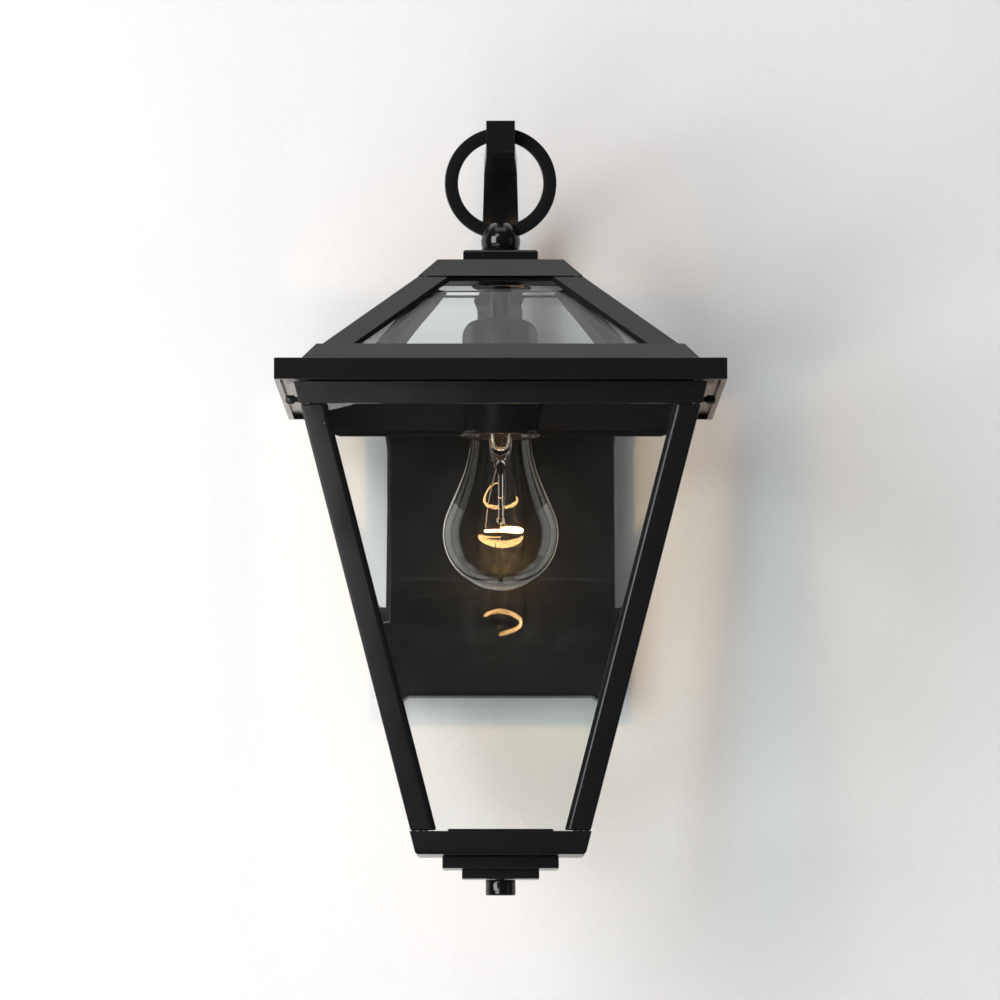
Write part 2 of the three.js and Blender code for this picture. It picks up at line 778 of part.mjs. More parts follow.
function socketContact() {
  const { tip, radius, dish, height } = contact;
  return turned(
    [
      [0, contactZ],
      [tip, contactZ],
      [radius, contactZ + dish],
      [radius, contactZ + height],
      [0, contactZ + height],
    ],
    16,
  );
}

// Outside of the glass: a sphere that flows into the neck.
function bulbOutline(inset) {
  const radius = bulb.radius - inset;
  const centreZ = bulbBottomZ + bulb.radius;
  const neck = bulb.neckRadius - inset;
  const baseNeck = bulb.baseRadius - bulb.baseWall - gap - inset;
  const ballCurve = new THREE.EllipseCurve(0, centreZ, radius, radius, -Math.PI / 2, bulb.ballEnds);
  const leave = ballCurve.getPoint(1);
  const direction = new THREE.Vector2(-Math.sin(bulb.ballEnds), Math.cos(bulb.ballEnds));
  const flow = new THREE.CubicBezierCurve(
    leave,
    leave.clone().addScaledVector(direction, bulb.ballFlow),
    new THREE.Vector2(neck, cupBottomZ - bulb.neckFlow),
    new THREE.Vector2(neck, cupBottomZ),
  );
  const points = [...ballCurve.getPoints(12), ...flow.getPoints(8).slice(1)].map((p) => [p.x, p.y]);
  points[0][0] = 0;
  points.push([baseNeck, bulbTopZ - 0.5], [baseNeck, bulbTopZ + bulb.neckInBase]);
  return points;
}

function bulbGlass() {
  return turned([...bulbOutline(0), ...bulbOutline(bulb.wall).reverse()], 28);
}

function bulbBase() {
  const { baseRadius, baseWall } = bulb;
  const z = [bulbTopZ, baseTopZ];
  return turned(
    [
      [baseRadius - baseWall, z[0]],
      [baseRadius, z[0]],
      [baseRadius, z[1] - base.crown],
      [base.topRadius + base.edge, z[1]],
      [base.topRadius, z[1]],
      [baseRadius - baseWall, z[1] - base.innerStep],
    ],
    24,
  );
}

function bulbInsulator() {
  const hole = base.topRadius - gap;
  return turned(
    [
      [0, baseTopZ - insulator.sunk],
      [hole, baseTopZ - insulator.sunk],
      [hole, baseTopZ + insulator.rise],
      [insulator.topRadius, baseTopZ + insulator.height],
      [0, baseTopZ + insulator.height],
    ],
    20,
  );
}

function bulbContact() {
  const { radius, shoulder, height } = bulbTip;
  const z = baseTopZ + insulator.height + gap;
  return turned([[0, z], [radius, z], [radius - shoulder / 2, z + shoulder], [0, z + height]], 16);
}

function bulbMount() {
  const top = bulbTopZ - 1;
  const throatZ = top - mount.height;
  const rodEnd = bulbBottomZ + bulb.radius + mount.rodAboveMiddle;
  return turned(
    [
      [0, rodEnd],
      [mount.rodRadius * mount.button, rodEnd + 1.5],
      [mount.rodRadius, rodEnd + mount.buttonHeight],
      [mount.rodRadius, throatZ],
      [mount.radius * mount.throat, throatZ + mount.flare],
      [mount.radius, top],
      [0, top],
    ],
    16,
  );
}

// An open ring round the rod's end, with a lead at each end that comes down beside the foot.
function bulbFilament() {
  const ringZ = bulbBottomZ + bulb.radius + filament.loopAboveMiddle;
  const leadTopZ = bulbTopZ - filament.leadDrop;
  const leadFootZ = leadTopZ - filament.leadLength;
  const beside = mount.radius + filament.radius + gap + filament.besideFoot;
  const at = (x, y, z) => new THREE.Vector3(x, y, z);
  const points = [at(-beside, 0, leadTopZ), at(-beside, 0, leadFootZ)];
  for (let i = 0; i <= filament.loopSteps; i += 1) {
    const angle = filament.loopStart + (filament.loopSweep * i) / filament.loopSteps;
    points.push(at(filament.loopRadius * Math.cos(angle), filament.loopRadius * Math.sin(angle), ringZ));
  }
  points.push(at(0, -beside, leadFootZ), at(0, -beside, leadTopZ));
  return tubeAlong(new THREE.CatmullRomCurve3(points), filament.radius, 76, 6);
}

// ---- Cage ----

function cageRim() {
  const outer = (z) => cageSlope.atHeight(z, 0);
  const inner = (z) => cageSlope.atHeight(z, -rim.wall);
  return square([outer(rimBottomZ), outer(rimTopZ), inner(rimTopZ), inner(rimBottomZ)]);
}

function stile() {
  const outer = (z) => cageSlope.atHeight(z, -cage.stileInset);
  const inner = (z) => cageSlope.atHeight(z, -cage.stileInset - cage.stileThick);
  const [low, high] = [bandTopZ + gap, rimBottomZ - gap];
  return cornerBar(cageSlope, [outer(low), outer(high), inner(high), inner(low)], cage.stileWidth);
}

function baseBand() {
  const outer = (z) => cageSlope.atHeight(z, 0);
  const inner = (z) => cageSlope.atHeight(z, -cage.bandWall);
  const foot = outer(bandBottomZ + cage.bandChamfer);
  const body = square([
    [0, bandBottomZ],
    [foot[0] - cage.bandChamfer, bandBottomZ],
    foot,
    outer(bandTopZ),
    inner(bandTopZ),
    inner(floorTopZ),
    [0, floorTopZ],
  ]);
  return cut(body, rod(finial.studRadius + gap, [bandBottomZ - 1, floorTopZ + 1]));
}

const paneOffset = -cage.stileInset - cage.stileThick - gap;
const paneLow = (floorTopZ + 2 * gap + cage.glass * cageSlopeTilt() - bandTopZ) / cageSlope.along.y;
const paneTopRise = collarBottomZ - gap - bandTopZ;
const paneHigh = (paneTopRise + cageSlopeTilt() * (paneOffset - cage.glass)) / cageSlope.along.y;

function cageSlopeTilt() {
  return Math.abs(cageSlope.outward.y);
}

function cagePane() {
  return bevelledPane(cageSlope, paneLow, paneHigh, paneOffset, cage.glass);
}

function paneRetainer() {
  const behind = paneOffset - cage.glass - gap;
  const top = bandTopZ + retainer.aboveBand;
  const foot = floorTopZ + gap;
  const outer = (z) => cageSlope.atHeight(z, behind);
  const inner = (z) => cageSlope.atHeight(z, behind - retainer.wall);
  const body = square([
    outer(foot),
    outer(top),
    inner(top),
    inner(foot + retainer.floor),
    [retainer.holeHalf, foot + retainer.floor],
    [retainer.holeHalf, foot],
  ]);
  const far = cage.footHalf;
  const tab = retainer.tabWidth / 2;
  const corner = box([tab, far], [tab, far], [foot + retainer.floor + 1, top + 1]);
  const corners = [0, 1, 2, 3].map((k) => corner.clone().rotateZ((k * Math.PI) / 2));
  return cut(body, ...corners);
}

function upperBasePlate() {
  const half = basePlate.upperWidth / 2;
  const low = upperPlateTopZ - basePlate.upperHeight;
  const body = square([
    [0, low],
    [half, low],
    [half, upperPlateTopZ - basePlate.chamfer],
    [half - basePlate.chamfer, upperPlateTopZ],
    [0, upperPlateTopZ],
  ]);
  return cut(body, rod(finial.studRadius + gap, [low - 1, upperPlateTopZ + 1]));
}

function lowerBasePlate() {
  const half = basePlate.lowerWidth / 2;
  const low = lowerPlateTopZ - basePlate.lowerHeight;
  const body = square([[0, low], [half, low], [half, lowerPlateTopZ], [0, lowerPlateTopZ]]);
  return cut(body, rod(finial.studRadius + gap, [low - 1, lowerPlateTopZ + 1]));
}

function finialStud() {
  const z = [knobBottomZ + finial.foot + runningGap, floorTopZ + finial.studNutHeight + finial.studPastNut];
  return rod(finial.studRadius, z, 16);
}

function studNut() {
  const z = [floorTopZ + 2 * gap, floorTopZ + 2 * gap + finial.studNutHeight];
  return cut(hexagon(finial.studNut, z), rod(finial.studRadius + gap, [z[0] - 1, z[1] + 1]));
}

function finialKnob() {
  const bore = finial.studRadius + runningGap;
  const { radius, edge, foot } = finial;
  return turned(
    [
      [0, knobBottomZ],
      [radius - edge, knobBottomZ],
      [radius, knobBottomZ + edge],
      [radius, knobTopZ - edge],
      [radius - edge, knobTopZ],
      [bore, knobTopZ],
      [bore, knobBottomZ + foot],
      [0, knobBottomZ + foot],
    ],
    24,
  );
}

function thumbScrewZ() {
  return rimTopZ - thumbScrew.drop;
}

// A small knurled screw through the rim into the collar's slot: turned about +X, for the right side.
function sideScrew() {
  const z = thumbScrewZ();
  const outside = cageSlope.atHeight(z + thumbScrew.headRadius, 0)[0] + runningGap;
  const tip = collarHalf - collar.thick;
  const profile = [
    [0, tip],
    [thumbScrew.shankRadius, tip],
    [thumbScrew.shankRadius, outside + thumbScrew.neck],
    [thumbScrew.headRadius, outside + thumbScrew.neck],
    [thumbScrew.headRadius, outside + thumbScrew.neck + thumbScrew.headLength],
    [0, outside + thumbScrew.neck + thumbScrew.headLength],
  ];
  return turned(profile, 16).rotateY(Math.PI / 2).translate(0, thumbScrew.back, z);
}

function drilledRim() {
  const acrossRim = [-eaveHalf, eaveHalf];
  const holeRadius = thumbScrew.shankRadius + runningGap;
  const hole = rodAlongX(holeRadius, acrossRim, thumbScrew.back, thumbScrewZ());
  return cut(cageRim(), hole);
}

// ---- Materials ----

function finish(color, roughness, metalness, extra = {}) {
  return new THREE.MeshStandardMaterial({ color, roughness, metalness, ...extra });
}

const powderCoat = () => finish(0x1c1d1f, 0.42, 0.35);
const clearGlass = () => finish(0xf2f6f5, 0.03, 0, { transparent: true, opacity: 0.25 });
const zincSteel = () => finish(0xb4b5b2, 0.35, 0.9);
const brass = () => finish(0xb98d3f, 0.3, 1);
const porcelain = () => finish(0xe8e4da, 0.25, 0);
const hotWire = () => finish(0xffb45a, 0.5, 0, { emissive: 0xff9c3a, emissiveIntensity: 3 });

// ---- Assembly ----

const lanternAssembly = new THREE.Group();
const wallSide = new THREE.Group();
const lantern = new THREE.Group();
lantern.position.y = -reach;
lanternAssembly.add(wallSide, lantern);

function add(parent, name, geometry, material) {
  const mesh = new THREE.Mesh(geometry, material);
  mesh.name = name;
  parent.add(mesh);
  return mesh;
}

add(wallSide, "wall_plate", wallPlate(), powderCoat());
add(wallSide, "wall_gasket", wallGasket(), finish(0x2a2a2a, 0.9, 0));
add(wallSide, "mounting_bar", mountingBar(), zincSteel());
add(wallSide, "plate_screw_left", plateScrew(-1), powderCoat());
add(wallSide, "plate_screw_right", plateScrew(1), powderCoat());
add(wallSide, "ground_screw", groundScrew(), finish(0x3f7a45, 0.4, 0.7));
add(wallSide, "hook_arm", hookArm(), powderCoat());
add(wallSide, "arm_screw_upper", armScrew(arm.screwZ[0]), zincSteel());
add(wallSide, "arm_screw_lower", armScrew(arm.screwZ[1]), zincSteel());
add(wallSide, "feed_tube", feedTube(), powderCoat());
add(wallSide, "live_lead", supplyLead(-1), finish(0x151515, 0.55, 0));
add(wallSide, "neutral_lead", supplyLead(1), finish(0xe6e3dc, 0.55, 0));
add(wallSide, "live_connector", wireConnector(-1), finish(0xd8742a, 0.5, 0));
add(wallSide, "neutral_connector", wireConnector(1), finish(0xd8742a, 0.5, 0));
add(wallSide, "ground_lead", groundLead(), finish(0xb87333, 0.4, 1));

add(lantern, "roof_skirt", roofSkirt(), powderCoat());
add(lantern, "roof_collar", roofCollar(), powderCoat());
add(lantern, "roof_cap", roofCap(), powderCoat());
add(lantern, "cap_plate", capPlate(), powderCoat());
add(lantern, "cap_bridge", capBridge(), powderCoat());
add(lantern, "hanging_ball", hangingBall(), powderCoat());
add(lantern, "hanging_ring", hangingRing(), powderCoat());
add(lantern, "stem_pipe", stemPipe(), powderCoat());
add(lantern, "stem_locknut", stemLocknut(), powderCoat());
add(lantern, "socket_cup", socketCup(), powderCoat());
add(lantern, "socket_body", socketBody(), porcelain());
add(lantern, "socket_shell", socketShell(), brass());
add(lantern, "socket_contact", socketContact(), brass());

add(lantern, "bulb_glass", bulbGlass(), finish(0xfff1dc, 0.03, 0, { transparent: true, opacity: 0.35 }));
add(lantern, "bulb_base", bulbBase(), brass());
add(lantern, "bulb_insulator", bulbInsulator(), finish(0x1a1a1c, 0.3, 0));
add(lantern, "bulb_contact", bulbContact(), finish(0xc9c9c6, 0.35, 1));
add(lantern, "bulb_mount", bulbMount(), clearGlass());
add(lantern, "bulb_filament", bulbFilament(), hotWire());

add(lantern, "cage_rim", drilledRim(), powderCoat());
add(lantern, "base_band", baseBand(), powderCoat());
add(lantern, "pane_retainer", paneRetainer(), powderCoat());
add(lantern, "upper_base_plate", upperBasePlate(), powderCoat());
add(lantern, "lower_base_plate", lowerBasePlate(), powderCoat());
add(lantern, "finial_stud", finialStud(), zincSteel());
add(lantern, "stud_nut", studNut(), zincSteel());
add(lantern, "finial_knob", finialKnob(), powderCoat());

const quarterTurn = Math.PI / 2;
["front", "right", "rear", "left"].forEach((side, k) => {
  add(lantern, `roof_pane_${side}`, roofPane().rotateZ(k * quarterTurn), clearGlass());
  add(lantern, `cage_pane_${side}`, cagePane().rotateZ(k * quarterTurn), clearGlass());
});
["front_right", "rear_right", "rear_left", "front_left"].forEach((corner, k) => {
  add(lantern, `hip_bar_${corner}`, hipBar().rotateZ(k * quarterTurn), powderCoat());
  add(lantern, `stile_${corner}`, stile().rotateZ(k * quarterTurn), powderCoat());
});

add(lantern, "thumb_screw_right", sideScrew(), powderCoat());
const leftScrew = add(lantern, "thumb_screw_left", sideScrew(), powderCoat());
leftScrew.rotation.z = Math.PI;
leftScrew.position.y = 2 * thumbScrew.back;

export default lanternAssembly;
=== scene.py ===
# %% [markdown]
# # An outdoor wall lantern, in Blender
#
# The real lantern is a black metal and glass cage that hangs by a ring from a hooked arm on the wall.
# Its exact shapes already exist as a CAD model, the frame. This lesson loads that frame, gives every
# part a finish that behaves like the real one, and remakes the round and bent parts with finer meshes.
# Everything is in metres, +Z is up, and the wall is the plane Y = 0 with the lantern in front of it, along -Y.

import math

import bmesh
import bpy
from mathutils import Matrix, Vector


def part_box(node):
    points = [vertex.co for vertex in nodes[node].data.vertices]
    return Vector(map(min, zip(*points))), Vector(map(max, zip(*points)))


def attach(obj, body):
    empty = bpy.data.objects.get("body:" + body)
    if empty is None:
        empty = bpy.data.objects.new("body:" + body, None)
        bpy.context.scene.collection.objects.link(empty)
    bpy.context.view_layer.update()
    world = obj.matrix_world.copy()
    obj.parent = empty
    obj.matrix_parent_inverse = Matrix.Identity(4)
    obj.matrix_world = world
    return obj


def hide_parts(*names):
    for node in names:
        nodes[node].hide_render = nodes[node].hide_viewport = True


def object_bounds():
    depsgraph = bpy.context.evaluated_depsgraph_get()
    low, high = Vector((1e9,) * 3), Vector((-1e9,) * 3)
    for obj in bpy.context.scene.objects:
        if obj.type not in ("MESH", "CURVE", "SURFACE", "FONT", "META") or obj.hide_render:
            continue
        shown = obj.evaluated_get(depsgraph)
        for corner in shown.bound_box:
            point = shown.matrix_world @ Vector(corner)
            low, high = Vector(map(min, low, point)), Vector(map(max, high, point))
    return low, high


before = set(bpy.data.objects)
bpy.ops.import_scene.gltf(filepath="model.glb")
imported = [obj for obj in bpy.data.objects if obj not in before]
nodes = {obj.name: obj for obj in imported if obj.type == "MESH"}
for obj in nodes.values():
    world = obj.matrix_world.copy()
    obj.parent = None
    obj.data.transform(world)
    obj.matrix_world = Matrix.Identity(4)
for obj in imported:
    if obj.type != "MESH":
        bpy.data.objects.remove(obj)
cad_low, cad_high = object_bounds()
mm = 0.001
print("parts in the frame:", len(nodes))
print("size in mm:", [round(s / mm, 1) for s in cad_high - cad_low])

# %% [markdown]
# ## The camera
#
# A lantern on a wall is looked at from far away and from a little below, so that all its upright lines stay
# almost upright. A long lens 3.3 metres in front of the lantern does that. It could be kept level and shifted
# upwards, but a shift would also push the object out of other views, so the camera is tilted instead.

# %% Camera
cage_low, cage_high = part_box("cage_rim")
axis_y = (cage_low.y + cage_high.y) / 2
camera_data = bpy.data.cameras.new("Camera")
camera_data.lens = 228.2
camera_data.sensor_width = 36
camera = bpy.data.objects.new("Camera", camera_data)
camera.location = (-0.0003, axis_y - 3.3, -0.2513)
camera.rotation_euler = (math.radians(90 + 4.43), 0, 0)
bpy.context.scene.collection.objects.link(camera)
bpy.context.scene.camera = camera
print("camera stands", round(-camera.location.y, 2), "m from the wall")

# %% [markdown]
# ## Shader helpers
#
# Every finish below is a small network of nodes. Writing each link by hand is long, so one helper adds a node
# and fills its inputs: a plain value is typed in, and another node's output is wired in.

# %% Helper: add a node
def put(tree, kind, inputs=None, **options):
    """Adds a node, sets its options and fills its inputs with values or with other nodes' outputs."""
    made = tree.nodes.new(kind)
    for name, value in options.items():
        setattr(made, name, value)
    for key, value in (inputs or {}).items():
        if isinstance(value, bpy.types.NodeSocket):
            tree.links.new(value, made.inputs[key])
        else:
            made.inputs[key].default_value = value
    return made


def maths(tree, operation, first, second=0.5, clamp=False):
    """One sum on two values; returns its result."""
    return put(tree, "ShaderNodeMath", {0: first, 1: second}, operation=operation, use_clamp=clamp).outputs[0]


def blend_colours(tree, share, first, second):
    """Mixes two colours by a share from 0 to 1."""
    made = put(tree, "ShaderNodeMix", {0: share, 6: first, 7: second}, data_type="RGBA")
    return made.outputs[2]


def remap(tree, value, low, high, to_low, to_high):
    """Stretches the range low..high to to_low..to_high and cuts off what is outside."""
    return put(tree, "ShaderNodeMapRange", {0: value, 1: low, 2: high, 3: to_low, 4: to_high}).outputs[0]


# %% [markdown]
# ## Shared effects
#
# Several finishes need the same thing: a fine grain, worn edges, dust on what faces up, a cloudy tone or lines
# from a tool. Each effect is a node group with named inputs, built once, like a tool kept in a drawer.
# A group gives out only values, masks and colours; the shader itself stays in each material.

# %% Helper: start a node group
def new_effect(name, inputs, outputs):
    """A node group with the given sockets: {name: value} inputs and {name: kind} outputs."""
    kinds = {float: "NodeSocketFloat", tuple: "NodeSocketColor"}
    tree = bpy.data.node_groups.new(name, "ShaderNodeTree")
    for label, value in inputs.items():
        socket = tree.interface.new_socket(name=label, in_out="INPUT", socket_type=kinds[type(value)])
        socket.default_value = value
    for label, kind in outputs.items():
        tree.interface.new_socket(name=label, in_out="OUTPUT", socket_type=kinds[kind])
    return tree, tree.nodes.new("NodeGroupInput").outputs, tree.nodes.new("NodeGroupOutput").inputs


def use_effect(tree, effect, **inputs):
    """Places a group in a material. Underscores in the input names stand for spaces."""
    made = put(tree, "ShaderNodeGroup", node_tree=effect)
    for label, value in inputs.items():
        socket = made.inputs[label.replace("_", " ")]
        if isinstance(value, bpy.types.NodeSocket):
            tree.links.new(value, socket)
        else:
            socket.default_value = value
    return made.outputs


def object_space(tree):
    """Positions on the piece itself, in metres, so a pattern rides along when the piece moves."""
    return put(tree, "ShaderNodeTexCoord").outputs["Object"]


# %% [markdown]
# ## Shared effects
#
# Five effects are used by several finishes, so each is built once as a node group. The first is fine grain:
# a sprayed or cast surface is never quite smooth. Two noises are added, a coarse swell and a finer one, and the
# sum is given out as a height for a Bump node. An image could hold the same, but noise has no seams or size.

# %% Effect: fine grain
grain_effect, given, gives = new_effect("Fine grain", {"Grain size": 0.001, "Fine share": 0.3}, {"Height": float})
frequency = maths(grain_effect, "DIVIDE", 1.0, given["Grain size"])
coarse = put(grain_effect, "ShaderNodeTexNoise",
             {"Vector": object_space(grain_effect), "Scale": frequency, "Detail": 1})
fine_frequency = maths(grain_effect, "MULTIPLY", frequency, 3.7)
fine = put(grain_effect, "ShaderNodeTexNoise", {"Vector": object_space(grain_effect), "Scale": fine_frequency})
fine_part = maths(grain_effect, "MULTIPLY", fine.outputs[0], given["Fine share"])
grain_effect.links.new(maths(grain_effect, "ADD", coarse.outputs[0], fine_part), gives["Height"])
print("effect ready:", grain_effect.name)

# %% [markdown]
# Worn edges: paint is thinnest on an edge, and an edge is what hands and cloths rub. The Bevel node gives the
# direction that a surface would face if its edges were rounded. Where that differs from the real direction,
# there is an edge. A little noise breaks the mask up so that it isn't a drawn line.

# %% Effect: worn edges
edge_effect, given, gives = new_effect("Worn edges", {"Width": 0.001, "Amount": 0.5}, {"Mask": float})
rounded = put(edge_effect, "ShaderNodeBevel", {"Radius": given["Width"]}, samples=3)
facing = put(edge_effect, "ShaderNodeNewGeometry").outputs["Normal"]
same_way = put(edge_effect, "ShaderNodeVectorMath", {0: rounded.outputs[0], 1: facing}, operation="DOT_PRODUCT")
edge = remap(edge_effect, same_way.outputs["Value"], 0.985, 0.80, 0.0, 1.0)
rubbing = put(edge_effect, "ShaderNodeTexNoise",
              {"Vector": object_space(edge_effect), "Scale": 260.0, "Detail": 4})
patches = remap(edge_effect, rubbing.outputs[0], 0.42, 0.62, 0.15, 1.0)
worn = maths(edge_effect, "MULTIPLY", maths(edge_effect, "MULTIPLY", edge, patches), given["Amount"], clamp=True)
edge_effect.links.new(worn, gives["Mask"])
print("effect ready:", edge_effect.name)

# %% [markdown]
# Dust: an outdoor lamp carries a thin film on whatever faces up, and a few single specks anywhere. The film comes
# from the direction that the surface faces, broken up by noise. The specks are the middles of a few chosen cells
# of a Voronoi pattern. Painting them by hand would look the same on one part, but not on all at once.

# %% Effect: dust, a film on what faces up and a few single specks anywhere
dust_effect, given, gives = new_effect(
    "Dust", {"Amount": 0.3, "Patch size": 0.004}, {"Film": float, "Specks": float})
own_facing = put(dust_effect, "ShaderNodeTexCoord").outputs["Normal"]
upwards = put(dust_effect, "ShaderNodeSeparateXYZ", {0: own_facing}).outputs["Z"]
lies_flat = remap(dust_effect, upwards, 0.35, 1.0, 0.0, 1.0)
patch_rate = maths(dust_effect, "DIVIDE", 1.0, given["Patch size"])
patchy = put(dust_effect, "ShaderNodeTexNoise",
             {"Vector": object_space(dust_effect), "Scale": patch_rate, "Detail": 6, "Roughness": 0.7})
settled = maths(dust_effect, "MULTIPLY", lies_flat, remap(dust_effect, patchy.outputs[0], 0.35, 0.75, 0.2, 1.0))
dust_effect.links.new(maths(dust_effect, "MULTIPLY", settled, given["Amount"], clamp=True), gives["Film"])
cells = put(dust_effect, "ShaderNodeTexVoronoi", {"Vector": object_space(dust_effect), "Scale": 90.0})
lot = put(dust_effect, "ShaderNodeSeparateXYZ", {0: cells.outputs["Color"]}).outputs["X"]
near_middle = remap(dust_effect, cells.outputs["Distance"], 0.014, 0.030, 1.0, 0.0)
few = maths(dust_effect, "GREATER_THAN", lot, 0.55)
strong = maths(dust_effect, "MULTIPLY", maths(dust_effect, "MULTIPLY", near_middle, few), 0.7)
dust_effect.links.new(strong, gives["Specks"])
print("effect ready:", dust_effect.name)

# %% [markdown]
# Cloudy tone: paint, plating and glass all change a little from place to place. A soft noise mixes two tones,
# and the mixing share is given out as well, so that the shine can follow the same patches.

# %% Effect: cloudy tone
cloud_effect, given, gives = new_effect(
    "Cloudy tone",
    {"Patch size": 0.02, "Thin tone": (0.5, 0.5, 0.5, 1.0), "Full tone": (0.5, 0.5, 0.5, 1.0)},
    {"Tone": tuple, "Share": float})
patch_frequency = maths(cloud_effect, "DIVIDE", 1.0, given["Patch size"])
clouds = put(cloud_effect, "ShaderNodeTexNoise",
             {"Vector": object_space(cloud_effect), "Scale": patch_frequency, "Detail": 5, "Roughness": 0.6})
cloud_share = remap(cloud_effect, clouds.outputs[0], 0.3, 0.7, 0.0, 1.0)
tone = blend_colours(cloud_effect, cloud_share, given["Thin tone"], given["Full tone"])
cloud_effect.links.new(tone, gives["Tone"])
cloud_effect.links.new(cloud_share, gives["Share"])
print("effect ready:", cloud_effect.name)

# %% [markdown]
# Tool lines: a lathe leaves fine rings. A noise that is stretched sideways and squeezed along the height gives
# uneven lines, where a plain wave would look printed.

# %% Effect: lines left by a tool, round the lantern's axis or along a height
line_effect, given, gives = new_effect("Tool lines", {"Spacing": 0.0003, "Unevenness": 0.5}, {"Height": float})
place = put(line_effect, "ShaderNodeSeparateXYZ", {0: object_space(line_effect)})
line_frequency = maths(line_effect, "DIVIDE", 1.0, given["Spacing"])
lines_at = put(line_effect, "ShaderNodeCombineXYZ", {
    "X": maths(line_effect, "MULTIPLY", place.outputs["X"], 12.0),
    "Y": maths(line_effect, "MULTIPLY", place.outputs["Y"], 12.0),
    "Z": maths(line_effect, "MULTIPLY", place.outputs["Z"], line_frequency)})
lines = put(line_effect, "ShaderNodeTexNoise",
            {"Vector": lines_at.outputs[0], "Scale": 1.0, "Detail": 3, "Distortion": given["Unevenness"]})
line_effect.links.new(lines.outputs[0], gives["Height"])
print("effect ready:", line_effect.name)

# %% [markdown]
# ## Materials
#
# A material is one Principled shader, which behaves like most real surfaces, with its colour, roughness and
# surface direction driven by the effects. A helper makes the empty material and another adds the tiny bumps.

# %% Helper: start a material
def new_finish(name, **values):
    """A material with one Principled shader; the values go on its own sockets."""
    material = bpy.data.materials.new(name)
    material.use_nodes = True
    tree = material.node_tree
    shader = tree.nodes["Principled BSDF"]
    for label, value in values.items():
        shader.inputs[label.replace("_", " ")].default_value = value
    return material, tree, shader


def bump(tree, shader, height, distance, strength=1.0):
    """Tilts the surface by a height map whose full range is distance metres deep."""
    made = put(tree, "ShaderNodeBump", {"Height": height, "Distance": distance, "Strength": strength})
    tree.links.new(made.outputs[0], shader.inputs["Normal"])


# %% [markdown]
# The frame is powder coated: dry black paint is blown on and melted. It sets with a faint orange-peel texture
# and a soft gloss, a little thinner and greyer on the edges, and dust shows on it at once. The grain bends the
# reflections instead of being painted, because that is how it is seen on the real thing. The ball and the knob
# are smoother and shine more, so the same recipe is used once more for them with a lower roughness.

# %% Finish: black powder coat
def make_black_coat(name, roughness_low, roughness_high, peel, dust):
    """Black powder coat; peel is the depth of its texture and dust how much lies on it."""
    material, tree, shader = new_finish(name, IOR=1.46, Coat_Roughness=0.12)
    body = use_effect(tree, cloud_effect, Patch_size=0.03,
                      Thin_tone=(0.0080, 0.0085, 0.0098, 1), Full_tone=(0.0055, 0.0058, 0.0068, 1))
    wear = use_effect(tree, edge_effect, Width=0.0009, Amount=0.45)["Mask"]
    rubbed = blend_colours(tree, wear, body["Tone"], (0.045, 0.046, 0.050, 1))
    lying = use_effect(tree, dust_effect, Amount=dust, Patch_size=0.006)
    dusty = maths(tree, "MAXIMUM", lying["Film"], lying["Specks"])
    tree.links.new(blend_colours(tree, dusty, rubbed, (0.30, 0.29, 0.27, 1)), shader.inputs["Base Color"])
    gloss = remap(tree, body["Share"], 0.0, 1.0, roughness_low, roughness_high)
    tree.links.new(maths(tree, "ADD", gloss, maths(tree, "MULTIPLY", dusty, 0.5)), shader.inputs["Roughness"])
    tree.links.new(remap(tree, wear, 0.0, 1.0, 0.12, 0.02), shader.inputs["Coat Weight"])
    grain = use_effect(tree, grain_effect, Grain_size=0.0011, Fine_share=0.35)["Height"]
    bump(tree, shader, grain, peel)
    return material


black_coat = make_black_coat("Black powder coat", 0.17, 0.27, 0.000005, 0.06)
gloss_coat = make_black_coat("Glossy black coat", 0.07, 0.13, 0.000003, 0.05)
print("finishes ready:", black_coat.name, "and", gloss_coat.name)

# %% [markdown]
# Glass is clear but never invisible: it mirrors what is beside it, its sheet is not perfectly flat, and hands
# leave smears. Lamps have to shine through it, and following every bent ray would be slow and noisy, so for
# shadow and diffuse rays alone the material lets light straight through. The Light Path node tells which ray asks.

# %% Finish: clear glass
def make_glass(name, colour, index, smear, wave_size, wave_depth, passes):
    """Clear glass; smear is the roughness of finger marks and passes the share of light let through to others."""
    material, tree, shader = new_finish(
        name, Base_Color=colour, IOR=index, Transmission_Weight=1.0, Metallic=0.0, Roughness=0.0)
    marks = use_effect(tree, cloud_effect, Patch_size=0.035)["Share"]
    tree.links.new(remap(tree, marks, 0.62, 1.0, 0.0, smear), shader.inputs["Roughness"])
    waves = use_effect(tree, grain_effect, Grain_size=wave_size, Fine_share=0.05)["Height"]
    bump(tree, shader, waves, wave_depth)
    path = put(tree, "ShaderNodeLightPath").outputs
    straight = maths(tree, "MAXIMUM", path["Is Shadow Ray"], path["Is Diffuse Ray"])
    see_through = put(tree, "ShaderNodeBsdfTransparent", {"Color": passes})
    mixed = put(tree, "ShaderNodeMixShader", {0: straight, 1: shader.outputs[0], 2: see_through.outputs[0]})
    tree.links.new(mixed.outputs[0], tree.nodes["Material Output"].inputs["Surface"])
    return material


pane_glass = make_glass("Bevelled pane glass", (0.985, 1.0, 0.99, 1), 1.50, 0.012, 0.05, 0.00004,
                        (0.93, 0.95, 0.94, 1))
lamp_glass = make_glass("Lamp glass", (1.0, 0.99, 0.97, 1), 1.47, 0.003, 0.03, 0.000006,
                        (0.97, 0.96, 0.94, 1))
print("finishes ready:", pane_glass.name, "and", lamp_glass.name)

# %% [markdown]
# Brass, zinc plate and copper are bare metals. A metal's colour is in its reflection, so Metallic is 1 and the
# colour is bright. What tells them apart up close is their history: brass is turned and shows fine lines,
# zinc plate is cloudy with a cool and a yellowish cast, copper darkens in patches.

